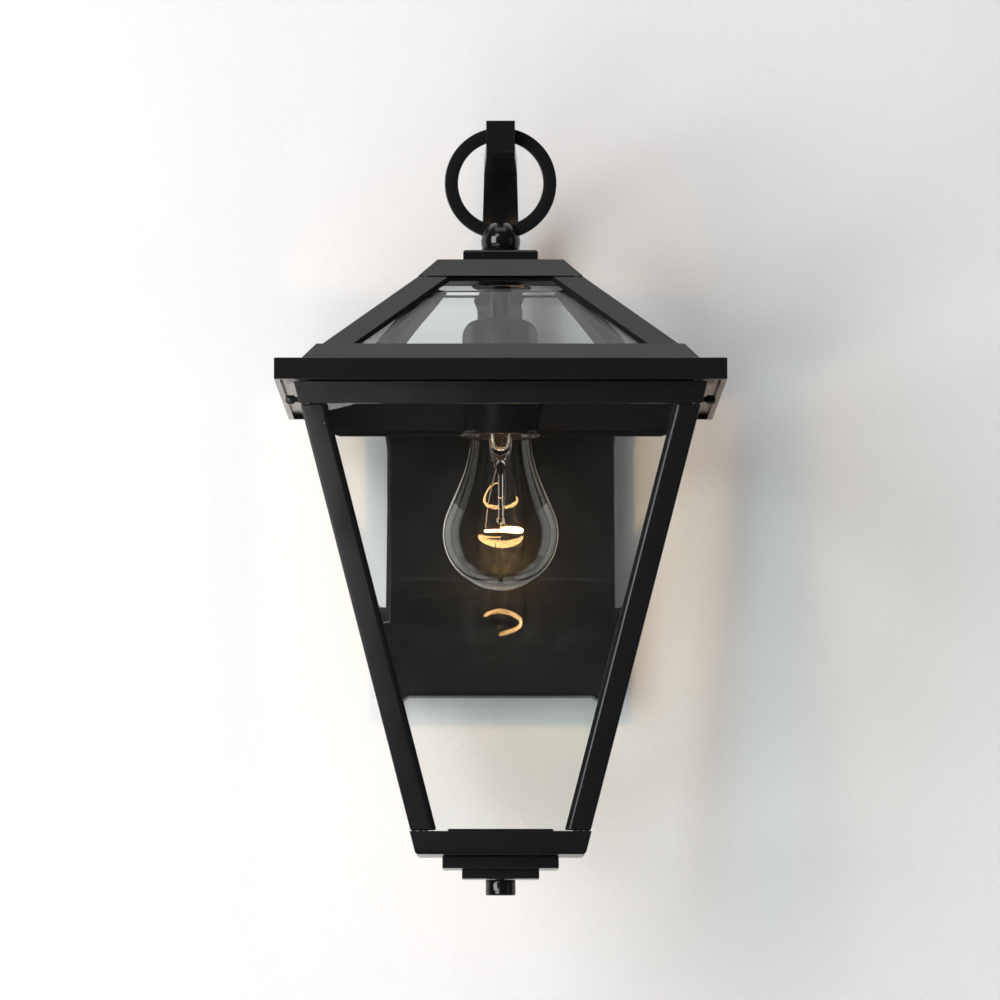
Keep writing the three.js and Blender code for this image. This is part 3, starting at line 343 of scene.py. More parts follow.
# %% Finishes: metals
def make_metal(name, thin, full, patch, roughness, line_spacing, line_depth, dull):
    """A bare metal with a cloudy cast, tool lines and brighter edges where it is handled."""
    material, tree, shader = new_finish(name, Metallic=1.0)
    cast = use_effect(tree, cloud_effect, Patch_size=patch, Thin_tone=thin, Full_tone=full)
    wear = use_effect(tree, edge_effect, Width=0.0005, Amount=0.6)["Mask"]
    bright = tuple(min(1.0, c * 1.15) for c in thin[:3]) + (1,)
    tree.links.new(blend_colours(tree, wear, cast["Tone"], bright), shader.inputs["Base Color"])
    tree.links.new(remap(tree, cast["Share"], 0.0, 1.0, roughness, roughness + dull), shader.inputs["Roughness"])
    marks = use_effect(tree, line_effect, Spacing=line_spacing, Unevenness=0.4)["Height"]
    bump(tree, shader, marks, line_depth)
    return material


brass = make_metal("Turned brass", (0.86, 0.62, 0.27, 1), (0.66, 0.43, 0.16, 1),
                   0.012, 0.20, 0.00025, 0.00001, 0.14)
zinc_steel = make_metal("Zinc plated steel", (0.70, 0.71, 0.73, 1), (0.58, 0.57, 0.50, 1),
                        0.008, 0.28, 0.0006, 0.00001, 0.2)
copper = make_metal("Bare copper", (0.89, 0.50, 0.34, 1), (0.58, 0.27, 0.17, 1),
                    0.006, 0.28, 0.0004, 0.00001, 0.15)
solder = make_metal("Solder", (0.74, 0.74, 0.73, 1), (0.52, 0.52, 0.52, 1),
                    0.002, 0.22, 0.0009, 0.00003, 0.2)
support_wire = make_metal("Support wire", (0.55, 0.50, 0.44, 1), (0.38, 0.33, 0.28, 1),
                          0.003, 0.25, 0.0003, 0.000005, 0.1)
green_steel = make_metal("Green earth screw", (0.12, 0.38, 0.17, 1), (0.06, 0.24, 0.09, 1),
                         0.004, 0.30, 0.0004, 0.00001, 0.15)
print("finishes ready:", brass.name, zinc_steel.name, copper.name, solder.name,
      support_wire.name, green_steel.name)


# %% [markdown]
# Porcelain, plastic, insulation and foam have no metal in them. They share one recipe too: a cloudy base colour
# with a little grain. What tells them apart is how rough they are, how deep the grain is and how much light a
# thin clear layer on top sends back: glazed porcelain has a strong one and foam has none.

# %% Finishes: porcelain, plastics and foam
def make_plain_solid(name, thin, full, patch, roughness, grain, depth, **values):
    """A dense non-metal: cloudy colour, uneven gloss and a fine grain."""
    material, tree, shader = new_finish(name, **values)
    cast = use_effect(tree, cloud_effect, Patch_size=patch, Thin_tone=thin, Full_tone=full)
    wear = use_effect(tree, edge_effect, Width=0.0006, Amount=0.35)["Mask"]
    pale = tuple(min(1.0, c * 1.3 + 0.02) for c in thin[:3]) + (1,)
    tree.links.new(blend_colours(tree, wear, cast["Tone"], pale), shader.inputs["Base Color"])
    tree.links.new(remap(tree, cast["Share"], 0.0, 1.0, roughness, roughness + 0.12), shader.inputs["Roughness"])
    bump(tree, shader, use_effect(tree, grain_effect, Grain_size=grain, Fine_share=0.5)["Height"], depth)
    return material


porcelain = make_plain_solid("Glazed porcelain", (0.82, 0.79, 0.72, 1), (0.74, 0.71, 0.64, 1), 0.009, 0.12,
                             0.003, 0.00004, Coat_Weight=0.5, Coat_Roughness=0.08)
black_glass = make_plain_solid("Black glass insulator", (0.02, 0.02, 0.022, 1), (0.008, 0.008, 0.01, 1), 0.004,
                               0.08, 0.002, 0.00003, Coat_Weight=0.6)
black_insulation = make_plain_solid("Black wire cover", (0.022, 0.022, 0.022, 1), (0.012, 0.012, 0.012, 1), 0.006,
                                    0.42, 0.0006, 0.00001)
white_insulation = make_plain_solid("White wire cover", (0.80, 0.79, 0.75, 1), (0.70, 0.68, 0.63, 1), 0.006, 0.40,
                                    0.0006, 0.00001, Subsurface_Weight=0.1)
orange_plastic = make_plain_solid("Orange connector plastic", (0.80, 0.22, 0.03, 1), (0.62, 0.15, 0.02, 1), 0.008,
                                  0.32, 0.0008, 0.00001, Subsurface_Weight=0.08)
seal_foam = make_plain_solid("Closed-cell foam", (0.035, 0.035, 0.036, 1), (0.012, 0.012, 0.013, 1), 0.0012, 0.85,
                             0.0007, 0.00025)
print("finishes ready: porcelain, black glass, wire covers, connector plastic, foam")

# %% [markdown]
# The filament is tungsten so hot that it glows. It is a coil, so along its length bright turns alternate with
# slightly darker gaps. Emission gives the glow; its colour stays amber so that the halo is warm, and it is
# strong enough to burn out to white in the middle.

# %% Finish: glowing filament
hot_wire, hot_tree, hot_shader = new_finish("Glowing filament", Base_Color=(0.1, 0.08, 0.06, 1), Roughness=0.5)
turns_of_coil = use_effect(hot_tree, grain_effect, Grain_size=0.0008, Fine_share=0.4)["Height"]
heat = remap(hot_tree, turns_of_coil, 0.45, 0.75, 0.0, 1.0)
glow = blend_colours(hot_tree, heat, (1.0, 0.42, 0.10, 1), (1.0, 0.62, 0.26, 1))
hot_tree.links.new(glow, hot_shader.inputs["Emission Color"])
hot_shader.inputs["Emission Strength"].default_value = 200.0
print("finish ready:", hot_wire.name)

# %% [markdown]
# ## Parts that keep their CAD shape
#
# Folded sheet, castings and panes are flat-sided, and the CAD has them exactly. What the CAD lacks is the
# small rounding that every real edge has and that catches a thin line of light. Three modifiers add it
# without touching the model: Weld joins the loose corners, Decimate in its planar mode merges the triangles
# of each flat face, and Bevel rounds the edges. Weighted Normal then keeps the flats looking flat.

# %% Helper: round the edges of a CAD part
def soften_edges(node, width, segments=2, sharper_than=25):
    """Rounds a CAD part's edges by width metres, where its faces meet at more than the given degrees."""
    part = nodes[node]
    weld = part.modifiers.new("Join corners", "WELD")
    weld.merge_threshold = 0.00002
    flats = part.modifiers.new("Merge flats", "DECIMATE")
    flats.decimate_type = "DISSOLVE"
    flats.angle_limit = math.radians(0.6)
    edges = part.modifiers.new("Rounded edges", "BEVEL")
    edges.width = width
    edges.segments = segments
    edges.limit_method = "ANGLE"
    edges.angle_limit = math.radians(sharper_than)
    edges.use_clamp_overlap = True
    part.modifiers.new("Even shading", "WEIGHTED_NORMAL").keep_sharp = False
    for face in part.data.polygons:
        face.use_smooth = True


def coat(names, material, width, segments=2):
    """Gives CAD parts a finish and softened edges."""
    for name in names:
        part = nodes[name]
        part.data.materials.clear()
        part.data.materials.append(material)
        soften_edges(name, width, segments)
    print("softened", len(names), "parts in", material.name)


# %% [markdown]
# The softening differs from part to part. Stiles are folded sheet with a generous fold, castings have a small
# round on each edge, and the heavy plate and arm were rounded before they were painted. The widths are in the
# order of half a millimetre, and they decide how thick the bright line on each edge is.

# %% Sheet metal and castings
corners = ["front_right", "rear_right", "rear_left", "front_left"]
sides = ["front", "right", "rear", "left"]
coat(["stile_" + c for c in corners], black_coat, 0.9 * mm, 3)
coat(["hip_bar_" + c for c in corners], black_coat, 0.5 * mm)
coat(["roof_skirt", "roof_cap", "cage_rim", "base_band"], black_coat, 0.3 * mm)
coat(["cap_plate", "upper_base_plate", "lower_base_plate"], black_coat, 0.3 * mm)
coat(["wall_plate", "hook_arm"], black_coat, 0.4 * mm, 3)
coat(["roof_collar", "pane_retainer", "cap_bridge"], black_coat, 0.3 * mm)
coat(["mounting_bar"], zinc_steel, 0.25 * mm)
coat(["wall_gasket"], seal_foam, 0.4 * mm)

# %% [markdown]
# The panes keep their CAD shape too, because their wide bevels are already cut there. Only their arrises, the
# sharp edges that a glass worker dulls with a stone, are taken off with one narrow flat.

# %% Glass panes
coat(["roof_pane_" + s for s in sides] + ["cage_pane_" + s for s in sides], pane_glass, 0.25 * mm, 1)

# %% [markdown]
# ## Turned and bent parts
#
# Round things show their facets first, so they are made again with many more steps. Most of them were made on
# a lathe, and so are these: a profile of radius and height pairs is drawn, its corners are rounded, and it is
# turned about an axis. Another helper carries a section along a path, for wires and rings.

# %% Helper: round the corners of a profile
def rounded_profile(points, radius, steps=4, closed=False):
    """Replaces each inner corner of a run of (radius, height) pairs by a small curve, or all if it is closed."""
    smooth = [] if closed else [points[0]]
    run = [points[-1], *points, points[0]] if closed else points
    for before, corner, after in zip(run, run[1:], run[2:]):
        corner = Vector(corner)
        back, on = Vector(before) - corner, Vector(after) - corner
        reach = min(radius, back.length * 0.45, on.length * 0.45)
        start, end = corner + back.normalized() * reach, corner + on.normalized() * reach
        for i in range(steps + 1):
            t = i / steps
            smooth.append(tuple(start * (1 - t) ** 2 + corner * 2 * t * (1 - t) + end * t ** 2))
    return smooth if closed else [*smooth, points[-1]]


# %% [markdown]
# Turning is a lathe in code: the profile is repeated round the axis, and neighbours are joined with faces.
# A Screw modifier would do it too, but code can also ripple the radius, and a thread needs that.

# %% Helper: turn a profile
def turned(profile, steps=96, closed=False, wobble=None):
    """A bmesh of the profile turned about Z. A closed profile joins its end to its start, for a hollow ring.
    wobble(angle, radius, height) may give a new radius and height, for threads and knurls."""
    mesh = bmesh.new()
    rings = []
    for radius, height in profile:
        if radius < 1e-7:
            rings.append([mesh.verts.new((0, 0, height))])
            continue
        ring_points = []
        for i in range(steps):
            angle = 2 * math.pi * i / steps
            r, z = wobble(angle, radius, height) if wobble else (radius, height)
            ring_points.append(mesh.verts.new((r * math.cos(angle), r * math.sin(angle), z)))
        rings.append(ring_points)
    pairs = list(zip(rings, rings[1:])) + ([(rings[-1], rings[0])] if closed else [])
    for low, high in pairs:
        for i in range(steps):
            j = (i + 1) % steps
            around = [low[i % len(low)], low[j % len(low)], high[j % len(high)], high[i % len(high)]]
            mesh.faces.new(list(dict.fromkeys(around)))
    bmesh.ops.recalc_face_normals(mesh, faces=mesh.faces)
    return mesh


# %% [markdown]
# Wires, leads and the coil are a section carried along a path. The section must not spin on its way, so each new
# sideways direction is the last one, laid flat against the new heading. A Blender curve with a bevel does the
# same, but a mesh can be joined, cut and exported as it is.

# %% Helper: carry a section along a path
def carried(path, section, twist=0.0):
    """A bmesh of a section, a ring of (across, up) pairs, carried along a path of points with as little
    turning as possible, plus a twist in radians per metre. It is closed with a flat end at each side."""
    mesh = bmesh.new()
    points = [Vector(p) for p in path]
    count = len(points)
    tangents = []
    for i in range(count):
        before, after = points[max(i - 1, 0)], points[min(i + 1, count - 1)]
        tangents.append((after - before).normalized())
    across = tangents[0].orthogonal().normalized()
    rings = []
    gone = 0.0
    for i, (p, tangent) in enumerate(zip(points, tangents)):
        gone += (p - points[i - 1]).length if i else 0.0
        across = (across - tangent * across.dot(tangent)).normalized()
        side = Matrix.Rotation(gone * twist, 3, tangent) @ across
        up = tangent.cross(side)
        rings.append([mesh.verts.new(p + side * a + up * u) for a, u in section])
    for low, high in zip(rings, rings[1:]):
        for i in range(len(section)):
            j = (i + 1) % len(section)
            mesh.faces.new((low[i], low[j], high[j], high[i]))
    mesh.faces.new(list(reversed(rings[0])))
    mesh.faces.new(rings[-1])
    bmesh.ops.recalc_face_normals(mesh, faces=mesh.faces)
    return mesh


def circle(radius, sides=16):
    """A round section for carried()."""
    return [(radius * math.cos(2 * math.pi * i / sides), radius * math.sin(2 * math.pi * i / sides))
            for i in range(sides)]


# %% [markdown]
# A mesh becomes a piece of the lantern in one place only. It gets its finish, smooth shading that stops at
# sharp edges and the body that it moves with, and the CAD parts that it stands for are hidden.


def make_piece(name, mesh, material, body, *replaced, smoother_than=35):
    """Turns a bmesh into an object that rides on a body and stands for the CAD parts named after it."""
    data = bpy.data.meshes.new(name)
    mesh.to_mesh(data)
    mesh.free()
    data.materials.append(material)
    data.shade_smooth()
    data.set_sharp_from_angle(angle=math.radians(smoother_than))
    piece = bpy.data.objects.new(name, data)
    bpy.context.scene.collection.objects.link(piece)
    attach(piece, body)
    if replaced:
        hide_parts(*replaced)
    print(name, "has", len(data.polygons), "faces")
    return piece


def placed(mesh, turn=None, at=(0, 0, 0)):
    """Turns a bmesh, then moves it, and hands it back."""
    move = Matrix.Translation(at) @ (turn or Matrix.Identity(4))
    bmesh.ops.transform(mesh, matrix=move, verts=mesh.verts)
    return mesh


def centre_of(node):
    """The middle of a CAD part's box."""
    low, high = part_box(node)
    return (low + high) / 2


# %% [markdown]
# Slots, holes and screw crosses are cut the way a workshop does it: the tool is a solid of its own, and it is
# taken away from the part with a Boolean. Drawing the cut into the mesh by hand would be finer, but much longer.

# %% Helper: cut tools out of a mesh
def cut_away(mesh, *tools):
    """Subtracts closed bmeshes from a closed bmesh, the way a drill or a saw would."""
    def as_object(made):
        data = bpy.data.meshes.new("work")
        made.to_mesh(data)
        made.free()
        thing = bpy.data.objects.new("work", data)
        bpy.context.scene.collection.objects.link(thing)
        return thing

    blank = as_object(mesh)
    blades = [as_object(tool) for tool in tools]
    for blade in blades:
        saw = blank.modifiers.new("Cut", "BOOLEAN")
        saw.operation = "DIFFERENCE"
        saw.solver = "EXACT"
        saw.object = blade
    bpy.context.view_layer.update()
    ready = blank.evaluated_get(bpy.context.evaluated_depsgraph_get())
    result = bmesh.new()
    result.from_mesh(ready.to_mesh())
    ready.to_mesh_clear()
    for thing in [blank, *blades]:
        bpy.data.meshes.remove(thing.data)
    return result


def block(low, high):
    """A box-shaped tool between two corners, for cutting slots."""
    mesh = bmesh.new()
    bmesh.ops.create_cube(mesh, size=1.0)
    low, high = Vector(low), Vector(high)
    size = Matrix.Diagonal((*(high - low), 1.0))
    return placed(mesh, size, (low + high) / 2)


def joined(*meshes):
    """Several bmeshes as one, without joining their surfaces."""
    whole = meshes[0]
    for mesh in meshes[1:]:
        data = bpy.data.meshes.new("work")
        mesh.to_mesh(data)
        mesh.free()
        whole.from_mesh(data)
        bpy.data.meshes.remove(data)
    return whole


# %% [markdown]
# ### Hanging ring and ball
#
# The ring is flat bar bent round and welded, so its section is a rectangle with softened corners. It is turned
# from that section, and then stood up so that its axis points out of the wall. The ball under it is a solid
# sphere with a flat foot; a slot as wide as the ring plus half a millimetre each side is milled through its top.

# %% Hanging ring
ring_low, ring_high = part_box("hanging_ring")
ring_outer = (ring_high.x - ring_low.x) / 2
ring_inner = ring_outer - 7 * mm
ring_half = (ring_high.y - ring_low.y) / 2
ring_centre = centre_of("hanging_ring")
stand_up = Matrix.Rotation(math.pi / 2, 4, "X")
ring_section = rounded_profile(
    [(ring_inner, -ring_half), (ring_outer, -ring_half), (ring_outer, ring_half), (ring_inner, ring_half)],
    0.5 * mm, closed=True)
ring_mesh = placed(turned(ring_section, 160, closed=True), stand_up, ring_centre)
make_piece("Hanging_ring", ring_mesh, black_coat, "ring", "hanging_ring")

# %% [markdown]
# The ball is turned first, as a profile of an arc and a flat foot. Then two tools cut it: a ring-shaped one for
# the slot, so that the ring has the same clearance all the way round, and a drill for the pipe from below.

# %% Hanging ball
ball_low, ball_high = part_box("hanging_ball")
ball_radius = (ball_high.x - ball_low.x) / 2
ball_centre = Vector((0, axis_y, ball_high.z - ball_radius))
foot_angle = math.asin((ball_low.z - ball_centre.z) / ball_radius)
ball_profile = [(0, ball_low.z)]
for i in range(41):
    angle = foot_angle + (math.pi / 2 - foot_angle) * i / 40
    out = ball_radius * math.cos(angle) if i < 40 else 0
    ball_profile.append((out, ball_centre.z + ball_radius * math.sin(angle)))
ball_mesh = placed(turned(ball_profile, 96), at=(0, axis_y, 0))
slot_section = [(ring_inner - 0.5 * mm, -ring_half - 0.5 * mm), (ring_outer + 0.5 * mm, -ring_half - 0.5 * mm),
                (ring_outer + 0.5 * mm, ring_half + 0.5 * mm), (ring_inner - 0.5 * mm, ring_half + 0.5 * mm)]
slot_tool = placed(turned(slot_section, 160, closed=True), stand_up, ring_centre)
pipe_radius = (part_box("stem_pipe")[1].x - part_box("stem_pipe")[0].x) / 2
hole_tool = turned([(0, ball_low.z - mm), (pipe_radius + 0.3 * mm, ball_low.z - mm),
                    (pipe_radius + 0.3 * mm, ball_low.z + 4 * mm), (0, ball_low.z + 4 * mm)], 48)
ball_mesh = cut_away(ball_mesh, slot_tool, placed(hole_tool, at=(0, axis_y, 0)))
make_piece("Hanging_ball", ball_mesh, gloss_coat, "hanger", "hanging_ball")

# %% [markdown]
# ### Lamp holder
#
# The holder is a spun metal cup: a straight wall, a rounded shoulder and a small rolled brim where the bulb goes
# in. It has a real wall thickness, so that its mouth shows a dark inside with the porcelain and brass in it.
# The porcelain block carries a brass shell with a rolled thread. A thread is a radius that rises and falls with
# height, and that shifts by one pitch in each turn: that is what thread() adds to a turned shape.

# %% Helper: thread
def thread(pitch, depth, low, high):
    """A wobble for turned(): a rolled thread between two heights, fading out at its ends."""
    def wobble(angle, radius, height):
        if radius < depth:
            return radius, height
        fade = min(1.0, max(0.0, (height - low) / pitch), max(0.0, (high - height) / pitch))
        wave = 0.5 + 0.5 * math.cos(2 * math.pi * (height / pitch) - angle)
        return radius - depth * wave * fade, height
    return wobble


def stepped(start, end, radius, step):
    """Many (radius, height) pairs up a straight wall, enough to carry a thread."""
    count = max(2, round(abs(end - start) / step))
    return [(radius, start + (end - start) * i / count) for i in range(count + 1)]


# %% [markdown]
# The cup's profile is drawn once as a closed outline, outside, brim and inside, so the wall's thickness is real.
# Spun sheet has no sharp corners, so every corner of the outline is rounded before it is turned.

# %% Socket cup
cup_low, cup_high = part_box("socket_cup")
brim_radius = (cup_high.x - cup_low.x) / 2
cup_radius = brim_radius - 0.65 * mm
cup_wall = 1.5 * mm
shoulder = 8 * mm
neck_hole = pipe_radius + 0.3 * mm


def shoulder_arc(radius, steps=14):
    """The quarter round between the cup's wall and its top."""
    middle = (cup_radius - shoulder, cup_high.z - shoulder)
    turns = [i * math.pi / 2 / steps for i in range(steps + 1)]
    return [(middle[0] + radius * math.cos(turn), middle[1] + radius * math.sin(turn)) for turn in turns]


cup_profile = [
    (cup_radius - cup_wall, cup_low.z + 0.4 * mm), (cup_radius - cup_wall + 0.4 * mm, cup_low.z),
    (brim_radius - 0.5 * mm, cup_low.z), (brim_radius, cup_low.z + 0.5 * mm), (brim_radius, cup_low.z + 1.3 * mm),
    (brim_radius - 0.3 * mm, cup_low.z + 1.8 * mm), (cup_radius, cup_low.z + 3.0 * mm),
    *shoulder_arc(shoulder), (neck_hole, cup_high.z), (neck_hole, cup_high.z - cup_wall),
    *reversed(shoulder_arc(shoulder - cup_wall))]
cup_mesh = placed(turned(cup_profile, 128, closed=True), at=(0, axis_y, 0))
make_piece("Socket_cup", cup_mesh, black_coat, "hanger", "socket_cup", smoother_than=50)

# %% [markdown]
# Inside the cup sits a glazed porcelain block. The brass shell in it is thin sheet with the rolled thread, and
# the contact at its end is a small brass tongue. They are hidden until the bulb is out, but light finds them.

# %% Porcelain block with its brass shell and contact
body_low, body_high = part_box("socket_body")
body_radius = (body_high.x - body_low.x) / 2
shell_low, shell_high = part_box("socket_shell")
shell_radius = (shell_high.x - shell_low.x) / 2
bore = shell_radius + 0.3 * mm
bore_top = shell_high.z + 2.6 * mm
body_profile = rounded_profile(
    [(0, bore_top), (bore, bore_top), (bore, body_low.z), (body_radius, body_low.z),
     (body_radius, body_low.z + 14 * mm), (body_radius - 1.2 * mm, body_low.z + 15 * mm),
     (body_radius - 1.2 * mm, body_low.z + 18 * mm), (body_radius, body_low.z + 19 * mm),
     (body_radius, body_high.z), (0, body_high.z)], 1.0 * mm)
make_piece("Socket_porcelain", placed(turned(body_profile, 96), at=(0, axis_y, 0)), porcelain, "hanger",
           "socket_body")

screw_pitch = 3.6 * mm
shell_wall = 0.4 * mm
shell_profile = [*stepped(shell_low.z, shell_high.z, shell_radius, 0.45 * mm),
                 *stepped(shell_high.z, shell_low.z, shell_radius - shell_wall, 0.45 * mm)]
shell_thread = thread(screw_pitch, 0.3 * mm, shell_low.z, shell_high.z)
shell_mesh = placed(turned(shell_profile, 96, closed=True, wobble=shell_thread), at=(0, axis_y, 0))
make_piece("Socket_shell", shell_mesh, brass, "hanger", "socket_shell", smoother_than=60)

tab_low, tab_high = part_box("socket_contact")
tab_radius = (tab_high.x - tab_low.x) / 2
tab_profile = rounded_profile(
    [(0, tab_low.z), (tab_radius * 0.5, tab_low.z), (tab_radius, tab_high.z - 0.3 * mm), (tab_radius, tab_high.z),
     (0, tab_high.z)], 0.15 * mm)
make_piece("Socket_contact", placed(turned(tab_profile, 48), at=(0, axis_y, 0)), brass, "hanger", "socket_contact")

# %% [markdown]
# ### Bulb
#
# The glass is blown: a round ball that flows into a narrow neck. Its profile is an arc followed by one smooth
# curve, once for the outside and once, a wall's thickness in, for the inside. Two surfaces matter, because each
# one bends and mirrors the filament, and those mirrored loops are part of how a clear lit bulb looks.

# %% Bulb glass
glass_low, glass_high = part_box("bulb_glass")
bulb_radius = (glass_high.x - glass_low.x) / 2
base_low, base_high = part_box("bulb_base")
base_radius = (base_high.x - base_low.x) / 2
neck_radius = 15.9 * mm
glass_wall = 0.7 * mm


def bulb_profile(inset):
    """The bulb's outline from its lowest point to the neck's end, moved in by inset."""
    radius, middle = bulb_radius - inset, glass_low.z + bulb_radius
    leave = 0.36
    points = []
    for i in range(41):
        angle = -math.pi / 2 + (math.pi / 2 + leave) * i / 40
        points.append((radius * math.cos(angle) if i else 0, middle + radius * math.sin(angle)))
    start = Vector(points[-1])
    pull = Vector((-math.sin(leave), math.cos(leave))) * 14 * mm
    neck = neck_radius - inset
    control = [start, start + pull, Vector((neck, cup_low.z - 16 * mm)), Vector((neck, cup_low.z))]
    for i in range(1, 25):
        t = i / 24
        weights = ((1 - t) ** 3, 3 * t * (1 - t) ** 2, 3 * t * t * (1 - t), t ** 3)
        points.append(tuple(sum((c * w for c, w in zip(control, weights)), Vector((0, 0)))))
    seat = base_radius - 0.9 * mm - inset
    points += [(neck, cup_low.z + 2 * mm), (seat + 0.6 * mm, base_low.z - 0.5 * mm), (seat, base_low.z + 0.4 * mm),
               (seat, glass_high.z)]
    return points


glass_profile = [*bulb_profile(0), *reversed(bulb_profile(glass_wall))]
glass_mesh = placed(turned(glass_profile, 160), at=(0, axis_y, 0))
make_piece("Bulb_glass", glass_mesh, lamp_glass, "bulb", "bulb_glass", smoother_than=60)

# %% [markdown]
# Inside the glass a hollow glass foot holds everything. It is pinched flat at its end around the two lead wires,
# and a thin rod goes on down to a small button. The coil hangs from it as an open ring in the middle of the
# ball. The coil is a real helix here: a fine wire wound along the ring's arc.

# %% Glass foot of the bulb
mount_low, mount_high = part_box("bulb_mount")
foot_radius = (mount_high.x - mount_low.x) / 2
pinch_top = mount_high.z - 18 * mm
rod_radius = 1.3 * mm
foot_profile = [
    (foot_radius, mount_high.z), (foot_radius * 0.97, pinch_top + 6 * mm), (foot_radius * 0.85, pinch_top + 3 * mm),
    (foot_radius * 0.62, pinch_top), (foot_radius * 0.55, pinch_top - 3 * mm),
    (foot_radius * 0.30, pinch_top - 6 * mm),
    (rod_radius, pinch_top - 8 * mm), (rod_radius, mount_low.z + 4 * mm), (rod_radius * 1.7, mount_low.z + 2.2 * mm),
    (rod_radius * 1.6, mount_low.z + 0.8 * mm), (0, mount_low.z)]
foot_inside = [(0, pinch_top + 5 * mm), (foot_radius * 0.6, pinch_top + 7 * mm), (foot_radius * 0.85, mount_high.z)]


def flattened(angle, radius, height):
    """Pinches the foot flat from front and back near its end, where the leads go through."""
    near = max(0.0, 1.0 - abs(height - (pinch_top - 2 * mm)) / (6 * mm))
    squeeze = 1.0 - 0.45 * near * abs(math.sin(angle))
    return radius * squeeze, height


foot_mesh = placed(turned([*foot_inside, *foot_profile], 64, wobble=flattened), at=(0, axis_y, 0))
make_piece("Bulb_foot", foot_mesh, lamp_glass, "bulb", "bulb_mount", smoother_than=70)

# %% [markdown]
# The filament is a wire wound into a coil that is itself bent round into an open ring. Its path is worked out
# point by point: along the ring, and round the ring's own line once for each turn of the coil. A glowing tube
# would be simpler, but a coil has dark gaps, and its edge glitters in the glass.

# %% Filament coil
coil_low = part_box("bulb_filament")[0]
ring_height = coil_low.z + 0.55 * mm
loop_radius = 11 * mm
coil_start, coil_sweep = math.radians(137), math.radians(-227)
coil_radius, coil_pitch = 0.50 * mm, 0.62 * mm
coil_turns = round(loop_radius * abs(coil_sweep) / coil_pitch)


def on_loop(share, out=0.0, up=0.0):
    """A point on the filament's ring, at a share of its arc, moved outwards and upwards."""
    angle = coil_start + coil_sweep * share
    sag = 0.5 * mm * math.sin(3 * math.pi * share)
    radius = loop_radius + out
    return Vector((radius * math.cos(angle), axis_y + radius * math.sin(angle), ring_height + up + sag))


coil_path = []
for i in range(coil_turns * 10 + 1):
    round_the_coil = 2 * math.pi * i / 10
    coil_path.append(on_loop(i / (coil_turns * 10), coil_radius * math.cos(round_the_coil),
                             coil_radius * math.sin(round_the_coil)))
make_piece("Filament_coil", carried(coil_path, circle(0.22 * mm, 6)), hot_wire, "bulb", "bulb_filament",
           smoother_than=80)

# %% [markdown]
# Two leads come out of the pinched foot and hold the coil's ends. Four hair-thin supports spread from the button
# at the rod's end and catch the coil on the way. Each is a short path with a slight bow, as soft wire has.

# %% Lead and support wires
press = Vector((0, axis_y, pinch_top - 4 * mm))


def bowed(start, end, bow, steps=12):
    """A slightly bent run of points from start to end."""
    start, end = Vector(start), Vector(end)
    return [start.lerp(end, i / steps) + Vector(bow) * math.sin(math.pi * i / steps) for i in range(steps + 1)]


leads = [
    carried(bowed(press + Vector((-2.2 * mm, 0, 0)), on_loop(0), (-1.0 * mm, 0.5 * mm, 0)), circle(0.25 * mm, 10)),
    carried(bowed(press + Vector((2.2 * mm, 0, 0)), on_loop(1), (1.2 * mm, -0.5 * mm, 0)), circle(0.25 * mm, 10))]
make_piece("Lead_wires", joined(*leads), support_wire, "bulb", smoother_than=60)
button = Vector((0, axis_y, mount_low.z + 1.4 * mm))
supports = []
for share in (0.2, 0.4, 0.6, 0.8):
    hook = on_loop(share)
    supports.append(carried(bowed(button, hook, (0, 0, -0.4 * mm)), circle(0.09 * mm, 8)))
make_piece("Support_wires", joined(*supports), support_wire, "bulb", smoother_than=60)

# %% [markdown]
# ### Screw base
#
# The bulb's base is thin brass sheet, rolled into a thread, on a black glass disc with a dab of solder in its
# middle. The thread is the same ripple as in the shell, a little smaller, so that the two fit.

# %% Screw base, insulator and contact
base_wall = 0.4 * mm
base_profile = [
    *stepped(base_low.z, base_high.z - 3.0 * mm, base_radius, 0.45 * mm),
    (base_radius - 1.0 * mm, base_high.z - 1.6 * mm), (base_radius - 3.2 * mm, base_high.z - 0.2 * mm),
    (base_radius - 4.0 * mm, base_high.z), (base_radius - 4.0 * mm, base_high.z - base_wall),
    (base_radius - 3.3 * mm, base_high.z - 0.7 * mm), (base_radius - 1.4 * mm, base_high.z - 2.0 * mm),
    *stepped(base_high.z - 3.4 * mm, base_low.z, base_radius - base_wall, 0.45 * mm)]
base_thread = thread(screw_pitch, 0.35 * mm, base_low.z + 3 * mm, base_high.z - 3.2 * mm)
base_mesh = placed(turned(base_profile, 96, closed=True, wobble=base_thread), at=(0, axis_y, 0))
make_piece("Bulb_base", base_mesh, brass, "bulb", "bulb_base", smoother_than=60)

insulator_low, insulator_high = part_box("bulb_insulator")
insulator_radius = (insulator_high.x - insulator_low.x) / 2
insulator_profile = rounded_profile(
    [(0, insulator_low.z), (insulator_radius, insulator_low.z), (insulator_radius, insulator_low.z + 2 * mm),
     (4 * mm, insulator_high.z), (0, insulator_high.z)], 0.8 * mm)
make_piece("Bulb_insulator", placed(turned(insulator_profile, 64), at=(0, axis_y, 0)), black_glass, "bulb",
           "bulb_insulator")
contact_low, contact_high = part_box("bulb_contact")
contact_radius = (contact_high.x - contact_low.x) / 2
contact_rise = contact_high.z - contact_low.z
contact_profile = [(0, contact_low.z), (contact_radius, contact_low.z)]
contact_profile += [(contact_radius * math.cos(i * math.pi / 20) if i < 10 else 0,
                     contact_low.z + 0.2 * mm + (contact_rise - 0.2 * mm) * math.sin(i * math.pi / 20))
                    for i in range(11)]
make_piece("Bulb_contact", placed(turned(contact_profile, 48), at=(0, axis_y, 0)), solder, "bulb", "bulb_contact")

